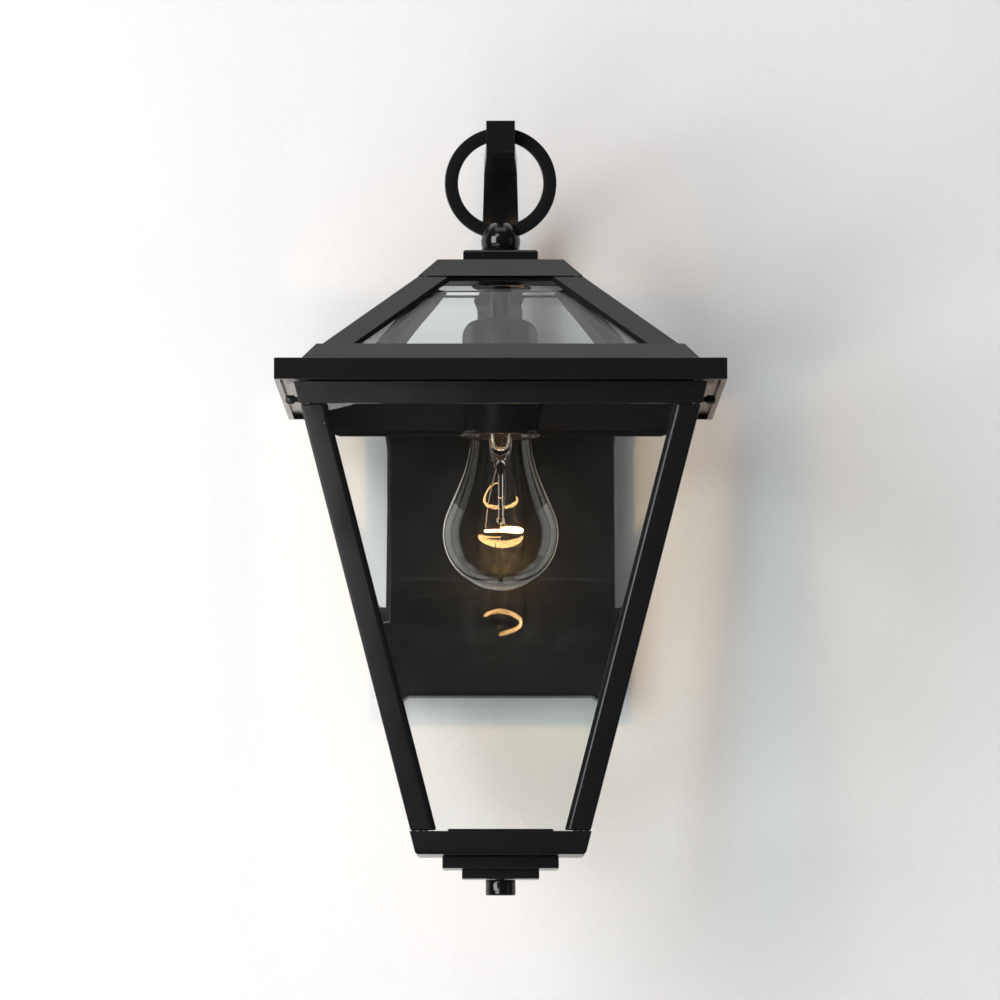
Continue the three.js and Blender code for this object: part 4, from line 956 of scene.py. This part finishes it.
# %% [markdown]
# ### Stem, tubes and nuts
#
# The stem is threaded pipe: it clamps the roof's cap, its bridge and the socket cup together, and the wires run
# through it. Its thread is fine, so it needs several rings of points for every turn.

# %% Stem pipe
stem_low, stem_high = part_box("stem_pipe")
fine_pitch = 0.94 * mm
stem_bore = 3.5 * mm
stem_profile = [*stepped(stem_low.z, stem_high.z, pipe_radius, 0.16 * mm), (pipe_radius - 0.4 * mm, stem_high.z),
                (stem_bore, stem_high.z), (stem_bore, stem_low.z), (pipe_radius - 0.4 * mm, stem_low.z)]


def stem_thread(angle, radius, height):
    """A fine thread on the outside only; the bore stays smooth."""
    if radius < pipe_radius - 0.1 * mm:
        return radius, height
    return thread(fine_pitch, 0.35 * mm, stem_low.z, stem_high.z)(angle, radius, height)


feed_low, feed_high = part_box("feed_tube")
feed_radius = (feed_high.x - feed_low.x) / 2
feed_height = centre_of("feed_tube").z
stem_mesh = placed(turned(stem_profile, 48, closed=True, wobble=stem_thread), at=(0, axis_y, 0))
window = turned([(0, 0), (2.6 * mm, 0), (2.6 * mm, 8 * mm), (0, 8 * mm)], 32)
lay_back = Matrix.Rotation(-math.pi / 2, 4, "X")
stem_mesh = cut_away(stem_mesh, placed(window, lay_back, (0, axis_y, feed_height)))
make_piece("Stem_pipe", stem_mesh, black_coat, "hanger", "stem_pipe", smoother_than=60)

# %% [markdown]
# The feed tube joins the arm to the cap behind the lantern. It is a plain pipe, cut square, with its two
# ends broken by a small round.

# %% Feed tube
feed_length = feed_high.y - feed_low.y
feed_wall = 1 * mm
feed_profile = rounded_profile([(feed_radius - feed_wall, 0), (feed_radius, 0), (feed_radius, feed_length),
                                (feed_radius - feed_wall, feed_length)], 0.25 * mm, closed=True)
feed_mesh = placed(turned(feed_profile, 64, closed=True), lay_back, (0, feed_low.y, feed_height))
make_piece("Feed_tube", feed_mesh, black_coat, "hanger", "feed_tube")

# %% [markdown]
# ### Knob and screws
#
# The knob at the foot is turned from bar, with a small chamfer and a blind hole for the stud. The two side
# screws have knurled heads, which is a wave round the radius. Every other screw has a pan head or a
# head that is sunk flush, with a cross cut into it, on a threaded shank.

# %% Finial knob
knob_low, knob_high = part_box("finial_knob")
knob_radius = (knob_high.x - knob_low.x) / 2
stud_low, stud_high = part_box("finial_stud")
stud_radius = (stud_high.x - stud_low.x) / 2
knob_bore = stud_radius + 0.5 * mm
knob_profile = [(0, knob_low.z), *rounded_profile(
    [(0.5 * mm, knob_low.z), (knob_radius, knob_low.z), (knob_radius, knob_high.z), (knob_bore, knob_high.z),
     (knob_bore, knob_low.z + 2 * mm), (0.5 * mm, knob_low.z + 2 * mm)], 0.9 * mm), (0, knob_low.z + 2 * mm)]
make_piece("Finial_knob", placed(turned(knob_profile, 96), at=(0, axis_y, 0)), gloss_coat, "knob", "finial_knob")

# %% [markdown]
# The stud is a threaded rod through the floor of the cage. Its thread is shallow and rolled like the others, and
# its last turns fade out, as a die leaves them.

# %% Stud
stud_profile = [(0, stud_low.z), (stud_radius - 0.5 * mm, stud_low.z),
                *stepped(stud_low.z + 0.4 * mm, stud_high.z - 0.4 * mm, stud_radius, 0.16 * mm),
                (stud_radius - 0.5 * mm, stud_high.z), (0, stud_high.z)]
stud_thread = thread(0.8 * mm, 0.4 * mm, stud_low.z, stud_high.z)
stud_mesh = placed(turned(stud_profile, 40, wobble=stud_thread), at=(0, axis_y, 0))
make_piece("Finial_stud", stud_mesh, zinc_steel, "cage", "finial_stud", smoother_than=60)
coat(["stem_locknut"], black_coat, 0.5 * mm)
coat(["stud_nut"], zinc_steel, 0.4 * mm)

# %% [markdown]
# The two side screws hold the cage to the collar. Fingers turn them, so their heads have a straight knurl: the
# radius ripples round the head, which is one more use of the turned shape's wobble.

# %% Thumb screws
def thumb_screw(side):
    """One side screw: its knurled head outside the rim, its shank through the rim into the collar."""
    name = "thumb_screw_" + side
    low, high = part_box(name)
    direction = 1 if side == "right" else -1
    inner, outer = (low.x, high.x) if side == "right" else (-high.x, -low.x)
    head = (high.z - low.z) / 2
    seat = outer - 4.6 * mm
    shank = 1.5 * mm
    profile = [(0, inner), (shank - 0.3 * mm, inner), *stepped(inner + 0.3 * mm, seat, shank, 0.12 * mm)]
    profile += [(head - 0.35 * mm, seat), (head, seat + 0.35 * mm), (head, outer - 0.9 * mm),
                (head - 0.35 * mm, outer - 0.5 * mm), (head * 0.6, outer), (0, outer)]

    def knurl(angle, radius, height):
        if height < seat:
            return thread(0.5 * mm, 0.2 * mm, inner, seat)(angle, radius, height)
        if radius < head - 0.01 * mm:
            return radius, height
        return radius - 0.16 * mm * (0.5 + 0.5 * math.cos(24 * angle)), height

    turn = Matrix.Rotation(direction * math.pi / 2, 4, "Y")
    middle = (low + high) / 2
    mesh = placed(turned(profile, 96, wobble=knurl), turn, (0, middle.y, middle.z))
    make_piece("Thumb_screw_" + side, mesh, black_coat, "screw_" + side, name, smoother_than=40)


thumb_screw("left")
thumb_screw("right")

# %% [markdown]
# The remaining screws share one maker. The shank is stepped to look threaded, the head is either sunk flush or a
# low pan, and the cross is cut with two crossed blades.

# %% Helper: cross-head screw
def cross_screw(shank_radius, head_radius, head_height, length, head):
    """A screw along Z: shank's tip at 0, the "sunk" or "pan" head from length up, with a cross cut into it."""
    top = length + head_height
    heads = {
        "sunk": [(head_radius * 0.97, top - 0.25 * mm), (head_radius, top - 0.12 * mm), (head_radius * 0.98, top)],
        "pan": [(head_radius * 0.97, length), (head_radius, length + head_height * 0.3),
                (head_radius * 0.93, length + head_height * 0.7), (head_radius * 0.7, top)]}
    profile = [(0, 0), (shank_radius * 0.7, 0), *stepped(0.4 * mm, length - 0.2 * mm, shank_radius, 0.14 * mm),
               (shank_radius, length), *heads[head], (0, top)]

    def rolled(angle, radius, height):
        if height >= length:
            return radius, height
        return thread(0.7 * mm, 0.28 * mm, 0, length)(angle, radius, height)

    arm_length, arm_half, deep = head_radius * 0.55, head_radius * 0.13, top - head_height * 0.55
    cross = [block((-arm_length, -arm_half, deep), (arm_length, arm_half, top + mm)),
             block((-arm_half, -arm_length, deep), (arm_half, arm_length, top + mm))]
    return cut_away(turned(profile, 40, wobble=rolled), *cross)


# %% [markdown]
# The plate screws are sunk flush with the plate's sides and painted over. The arm screws are pan heads on the
# inside of the plate. The ground screw's shape in the CAD is enough, and only needs its green finish.

# %% Plate screws, arm screws and ground screw
for side, direction in (("left", -1), ("right", 1)):
    name = "plate_screw_" + side
    low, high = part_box(name)
    inner, outer = (low.x, high.x) if direction > 0 else (-high.x, -low.x)
    head = (high.z - low.z) / 2
    mesh = cross_screw(2.0 * mm, head, 1.7 * mm, outer - inner - 1.7 * mm, "sunk")
    turn = Matrix.Rotation(direction * math.pi / 2, 4, "Y")
    at = centre_of(name)
    mesh = placed(mesh, turn, (direction * inner, at.y, at.z))
    make_piece("Plate_screw_" + side, mesh, black_coat, "hanger", name)
for level in ("upper", "lower"):
    name = "arm_screw_" + level
    low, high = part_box(name)
    mesh = cross_screw(2.0 * mm, (high.x - low.x) / 2, 2.4 * mm, high.y - low.y - 2.4 * mm, "pan")
    at = centre_of(name)
    make_piece("Arm_screw_" + level, placed(mesh, lay_back, (at.x, low.y, at.z)), zinc_steel, "hanger", name)
coat(["ground_screw"], green_steel, 0.3 * mm)

# %% [markdown]
# ### Wires
#
# Two covered leads come from the lamp holder, go up the stem, out of the feed tube, down inside the arm and end
# in two twist-on connectors behind the plate. A route is given by its corners, and each corner is rounded. The
# earth wire is bare and stranded: its section has seven lobes and turns as it goes.

# %% Helper: route with rounded corners
def route(corners, bend=3 * mm, steps=8):
    """A run of points along straight lines between corners, with a curve at each corner."""
    points = [Vector(corners[0])]
    for before, corner, after in zip(corners, corners[1:], corners[2:]):
        corner = Vector(corner)
        start = corner + (Vector(before) - corner).normalized() * bend
        end = corner + (Vector(after) - corner).normalized() * bend
        for i in range(steps + 1):
            t = i / steps
            points.append(start * (1 - t) ** 2 + corner * 2 * t * (1 - t) + end * t ** 2)
    points.append(Vector(corners[-1]))
    return points


# %% [markdown]
# Two leads run from the connectors through the arm, the feed tube, the cap and the pipe to the socket. They
# turn sharply in narrow ways, so each corner of the route is replaced by a small arc.

# %% Supply leads
way_y = feed_high.y + 2.15 * mm
for name, material, side in (("live", black_insulation, -1), ("neutral", white_insulation, 1)):
    low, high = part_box(name + "_lead")
    x = side * 1 * mm
    nut = centre_of(name + "_connector")
    corners_of_route = [
        (x, axis_y, low.z), (x, axis_y, feed_height), (x, way_y, feed_height), (x, way_y, nut.z),
        (x, nut.y, nut.z), (high.x if side > 0 else low.x, nut.y, nut.z)]
    lead_mesh = carried(route(corners_of_route), circle(0.8 * mm, 20))
    make_piece(name.capitalize() + "_lead", lead_mesh, material, "hanger", name + "_lead", smoother_than=60)

# %% [markdown]
# The connectors are moulded cones that are twisted over bare wire ends. Their ribs are for the fingers. The ripple
# on the radius makes them, deep at the mouth and none at the tip.

# %% Twist-on connectors
for name, side in (("live", -1), ("neutral", 1)):
    low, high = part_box(name + "_connector")
    near, far = (low.x, high.x) if side > 0 else (-high.x, -low.x)
    mouth = (high.z - low.z) / 2
    length = far - near
    profile = [(0, length / 2), (1.5 * mm, length / 2), (1.5 * mm, 0.3 * mm), (2.2 * mm, 0), (mouth - 0.3 * mm, 0),
               (mouth, 0.5 * mm), (mouth, 2.5 * mm), *stepped(3 * mm, length - 1.2 * mm, mouth * 0.93, 0.8 * mm),
               (mouth * 0.55, length - 0.3 * mm), (mouth * 0.4, length), (0, length)]

    def ribbed(angle, radius, height, mouth=mouth, length=length):
        """Narrows towards the tip and has ribs for the fingers."""
        if radius < mouth * 0.5 or height < 2.6 * mm:
            return radius, height
        taper = 1.0 - 0.38 * (height - 2.6 * mm) / length
        return radius * taper * (1.0 - 0.05 * (0.5 + 0.5 * math.cos(12 * angle))), height

    turn = Matrix.Rotation(side * math.pi / 2, 4, "Y")
    at = centre_of(name + "_connector")
    mesh = placed(turned(profile, 96, wobble=ribbed), turn, (side * near, at.y, at.z))
    make_piece(name.capitalize() + "_connector", mesh, orange_plastic, "hanger", name + "_connector")

# %% [markdown]
# The earth wire is bare copper from the green screw across the mounting bar. It follows its CAD route with
# rounded corners, as the leads do.

# %% Earth wire
earth_low, earth_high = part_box("ground_lead")
earth_radius = 0.8 * mm
strand_section = [((0.82 + 0.18 * math.cos(7 * a)) * earth_radius * math.cos(a),
                   (0.82 + 0.18 * math.cos(7 * a)) * earth_radius * math.sin(a))
                  for a in [2 * math.pi * i / 56 for i in range(56)]]
earth_x, earth_y, earth_z = earth_high.x - earth_radius, earth_high.y - earth_radius, earth_high.z - earth_radius
earth_back = earth_low.y + earth_radius
earth_route = route([(earth_x, earth_y, earth_low.z), (earth_x, earth_y, earth_z),
                     (earth_x, earth_back, earth_z), (earth_low.x, earth_back, earth_z)])
earth_points = [a.lerp(b, k / 6) for a, b in zip(earth_route, earth_route[1:]) for k in range(6)]
earth_points.append(earth_route[-1])
make_piece("Earth_wire", carried(earth_points, strand_section, twist=900), copper, "hanger", "ground_lead",
           smoother_than=60)

# %% [markdown]
# ## Wall, floor and light
#
# The lantern hangs on a pale painted wall above a pale floor. Both are only the stage. Each vanishes when it is
# looked at from behind, so that the back of the wall plate and the foot of the lantern can be studied. The wall
# has an opening behind the plate, as a real wall has for the outlet box.
#
# The floor and the room have to look one way to the eye and another way in reflections. The Light Path node
# tells how a ray got here. Its nodes are put straight into each material, because an export can't read them
# inside a group.

# %% Helper: what a ray looks at
def looked_at_share(tree):
    """1 for rays from the eye, straight or through glass, and 0 for rays that were mirrored or scattered."""
    ray = put(tree, "ShaderNodeLightPath").outputs
    unreflected = maths(tree, "LESS_THAN", ray["Glossy Depth"], 0.5)
    through_glass = maths(tree, "MULTIPLY", ray["Is Transmission Ray"], unreflected)
    return maths(tree, "MAXIMUM", ray["Is Camera Ray"], through_glass)


# %% Stage finish
def make_paint(name, colour):
    """Matt paint with a faint roller texture, on a sheet that can't be seen from behind."""
    material, tree, shader = new_finish(name, Roughness=0.75)
    shade = use_effect(tree, cloud_effect, Patch_size=0.25, Thin_tone=colour,
                       Full_tone=tuple(c * 0.985 for c in colour[:3]) + (1,))
    tree.links.new(shade["Tone"], shader.inputs["Base Color"])
    bump(tree, shader, use_effect(tree, grain_effect, Grain_size=0.004, Fine_share=0.4)["Height"], 0.0002)
    behind = put(tree, "ShaderNodeNewGeometry").outputs["Backfacing"]
    clear = put(tree, "ShaderNodeBsdfTransparent")
    mixed = put(tree, "ShaderNodeMixShader", {0: behind, 1: shader.outputs[0], 2: clear.outputs[0]})
    tree.links.new(mixed.outputs[0], tree.nodes["Material Output"].inputs["Surface"])
    return material


wall_paint = make_paint("Pale wall paint", (0.86, 0.86, 0.865, 1))
floor_paint = make_paint("Pale floor", (0.80, 0.80, 0.80, 1))
print("stage finishes ready:", wall_paint.name, "and", floor_paint.name)

# %% [markdown]
# Little light reaches the floor, so a pale floor would still look dark grey from the side. It could have a lamp
# of its own, but that would light the lantern too. Instead it gives off light that only the eye sees, straight or
# through glass. In mirrors it is dark, because a bright floor that is reflected inside the panes makes them look
# milky. No real floor does either: it is a trick of the stage, and nothing on the lantern uses it.

# %% Floor: pale to look at, dark in mirrors
mirror_tone = (0.03, 0.03, 0.03, 1)
glow_tone, glow_strength = (0.90, 0.91, 0.92, 1), 0.7
glow_share = 0.7
floor_tree = floor_paint.node_tree
floor_mix = floor_tree.nodes["Material Output"].inputs["Surface"].links[0].from_node
floor_ray = put(floor_tree, "ShaderNodeLightPath").outputs
mirrored = maths(floor_tree, "GREATER_THAN", floor_ray["Glossy Depth"], 0.5)
dark = put(floor_tree, "ShaderNodeBsdfDiffuse", {"Color": mirror_tone})
matt = floor_mix.inputs[1].links[0].from_socket
no_mirror = put(floor_tree, "ShaderNodeMixShader", {0: mirrored, 1: matt, 2: dark.outputs[0]})
glow = put(floor_tree, "ShaderNodeEmission", {"Color": glow_tone, "Strength": glow_strength})
share = maths(floor_tree, "MULTIPLY", looked_at_share(floor_tree), glow_share)
lifted = put(floor_tree, "ShaderNodeMixShader", {0: share, 1: no_mirror.outputs[0], 2: glow.outputs[0]})
floor_tree.links.new(lifted.outputs[0], floor_mix.inputs[1])
print("floor's glow for the eye:", glow_strength, "over a share of", glow_share)

# %% [markdown]
# The wall is a grid of nine fields with the middle one left out, which is the opening for the outlet box. The
# floor is one sheet.

# %% Wall and floor
def make_stage(name, mesh, material):
    """A sheet of the stage, which isn't part of the object."""
    data = bpy.data.meshes.new(name)
    mesh.to_mesh(data)
    mesh.free()
    data.materials.append(material)
    sheet = bpy.data.objects.new(name, data)
    bpy.context.scene.collection.objects.link(sheet)
    return sheet


floor_height = -0.62
plate_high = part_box("wall_plate")[1]
open_x, open_z = plate_high.x - 8 * mm, plate_high.z - 8 * mm
wall_x, wall_top = 3.0, 2.4
wall_mesh = bmesh.new()
columns = [-wall_x, -open_x, open_x, wall_x]
rows = [floor_height, -open_z, open_z, wall_top]
grid = [[wall_mesh.verts.new((x, 0.0002, z)) for x in columns] for z in rows]
for r in range(3):
    for c in range(3):
        if (r, c) != (1, 1):
            wall_mesh.faces.new((grid[r][c], grid[r][c + 1], grid[r + 1][c + 1], grid[r + 1][c]))
make_stage("Wall", wall_mesh, wall_paint)
floor_mesh = bmesh.new()
floor_mesh.faces.new([floor_mesh.verts.new((x, y, floor_height)) for x, y in ((-9, -9), (9, -9), (9, 9), (-9, 9))])
make_stage("Floor", floor_mesh, floor_paint)
print("floor lies", floor_height, "m from the plate's middle")

# %% [markdown]
# The light is soft studio light. A large soft box stands at the left and a little above, with a weak fill at the
# right, and the room in front is left darker, because a glossy black frame shows what it faces. A small high
# window and a low reflector, both at the left, add smaller highlights. A wide light above draws the thin bright
# lines on the top edges, and one behind serves the views of the back. None of them shows to the eye or through
# glass, or they would turn up as white panels behind the panes. A small warm lamp inside the bulb gives the
# light that the filament gives: it lights its surroundings, and the camera and the glass see only the filament
# itself.

# %% Lights
def soft_box(name, place_at, aim_at, width, height, power, colour=(1, 1, 1)):
    """A rectangular soft light at a place, aimed at a point."""
    data = bpy.data.lights.new(name, "AREA")
    data.shape = "RECTANGLE"
    data.size, data.size_y = width, height
    data.energy = power
    data.color = colour
    light = bpy.data.objects.new(name, data)
    light.location = place_at
    light.rotation_euler = (Vector(aim_at) - Vector(place_at)).to_track_quat("-Z", "Y").to_euler()
    light.visible_camera = light.visible_transmission = False
    bpy.context.scene.collection.objects.link(light)
    return light


middle = (cad_low + cad_high) / 2
soft_box("Left soft box", (-1.5, -1.85, 0.45), middle, 1.1, 1.5, 41, (0.98, 0.99, 1.0))
soft_box("High left window", (-0.60, -1.60, 1.15), (0, axis_y, 0), 0.6, 0.5, 3.4)
soft_box("Low left reflector", (-0.40, -1.0, -0.36), (-0.05, axis_y, 0.0), 0.48, 0.34, 2.6)
soft_box("Right fill", (2.0, -1.2, 0.2), middle, 0.8, 1.4, 1.0, (1.0, 0.985, 0.96))
soft_box("Top light", (0, -0.5, 1.9), middle, 1.6, 1.2, 7)
soft_box("Back light", (0.3, 2.6, 0.9), middle, 2.0, 1.6, 30)

bulb_light = bpy.data.lights.new("Bulb light", "POINT")
bulb_light.energy = 0.35
bulb_light.color = (1.0, 0.55, 0.22)
bulb_light.shadow_soft_size = 9 * mm
bulb_lamp = bpy.data.objects.new("Bulb light", bulb_light)
bulb_lamp.location = (0, axis_y, ring_height)
for hidden_from in ("visible_camera", "visible_glossy", "visible_transmission"):
    setattr(bulb_lamp, hidden_from, False)
bpy.context.scene.collection.objects.link(bulb_lamp)

# %% [markdown]
# The world is what rays meet when they miss everything. Seen directly or through glass it is pale. In
# reflections it is nearly dark, as a room behind the camera is, or else every pane would look milky. It adds a
# little light to matt surfaces, so that no shadow is fully black.

# %% World and colour
world = bpy.data.worlds.new("Pale room")
world.use_nodes = True
air = world.node_tree
pale = air.nodes["Background"]
pale.inputs["Color"].default_value = (0.92, 0.93, 0.95, 1)
seen = remap(air, looked_at_share(air), 0.0, 1.0, 0.035, 0.80)
lit = remap(air, put(air, "ShaderNodeLightPath").outputs["Is Diffuse Ray"], 0.0, 1.0, 0.0, 0.09)
air.links.new(maths(air, "ADD", seen, lit), pale.inputs["Strength"])
bpy.context.scene.world = world
bpy.context.scene.view_settings.view_transform = "Standard"
print("room is lit by", len(bpy.data.lights), "lights")
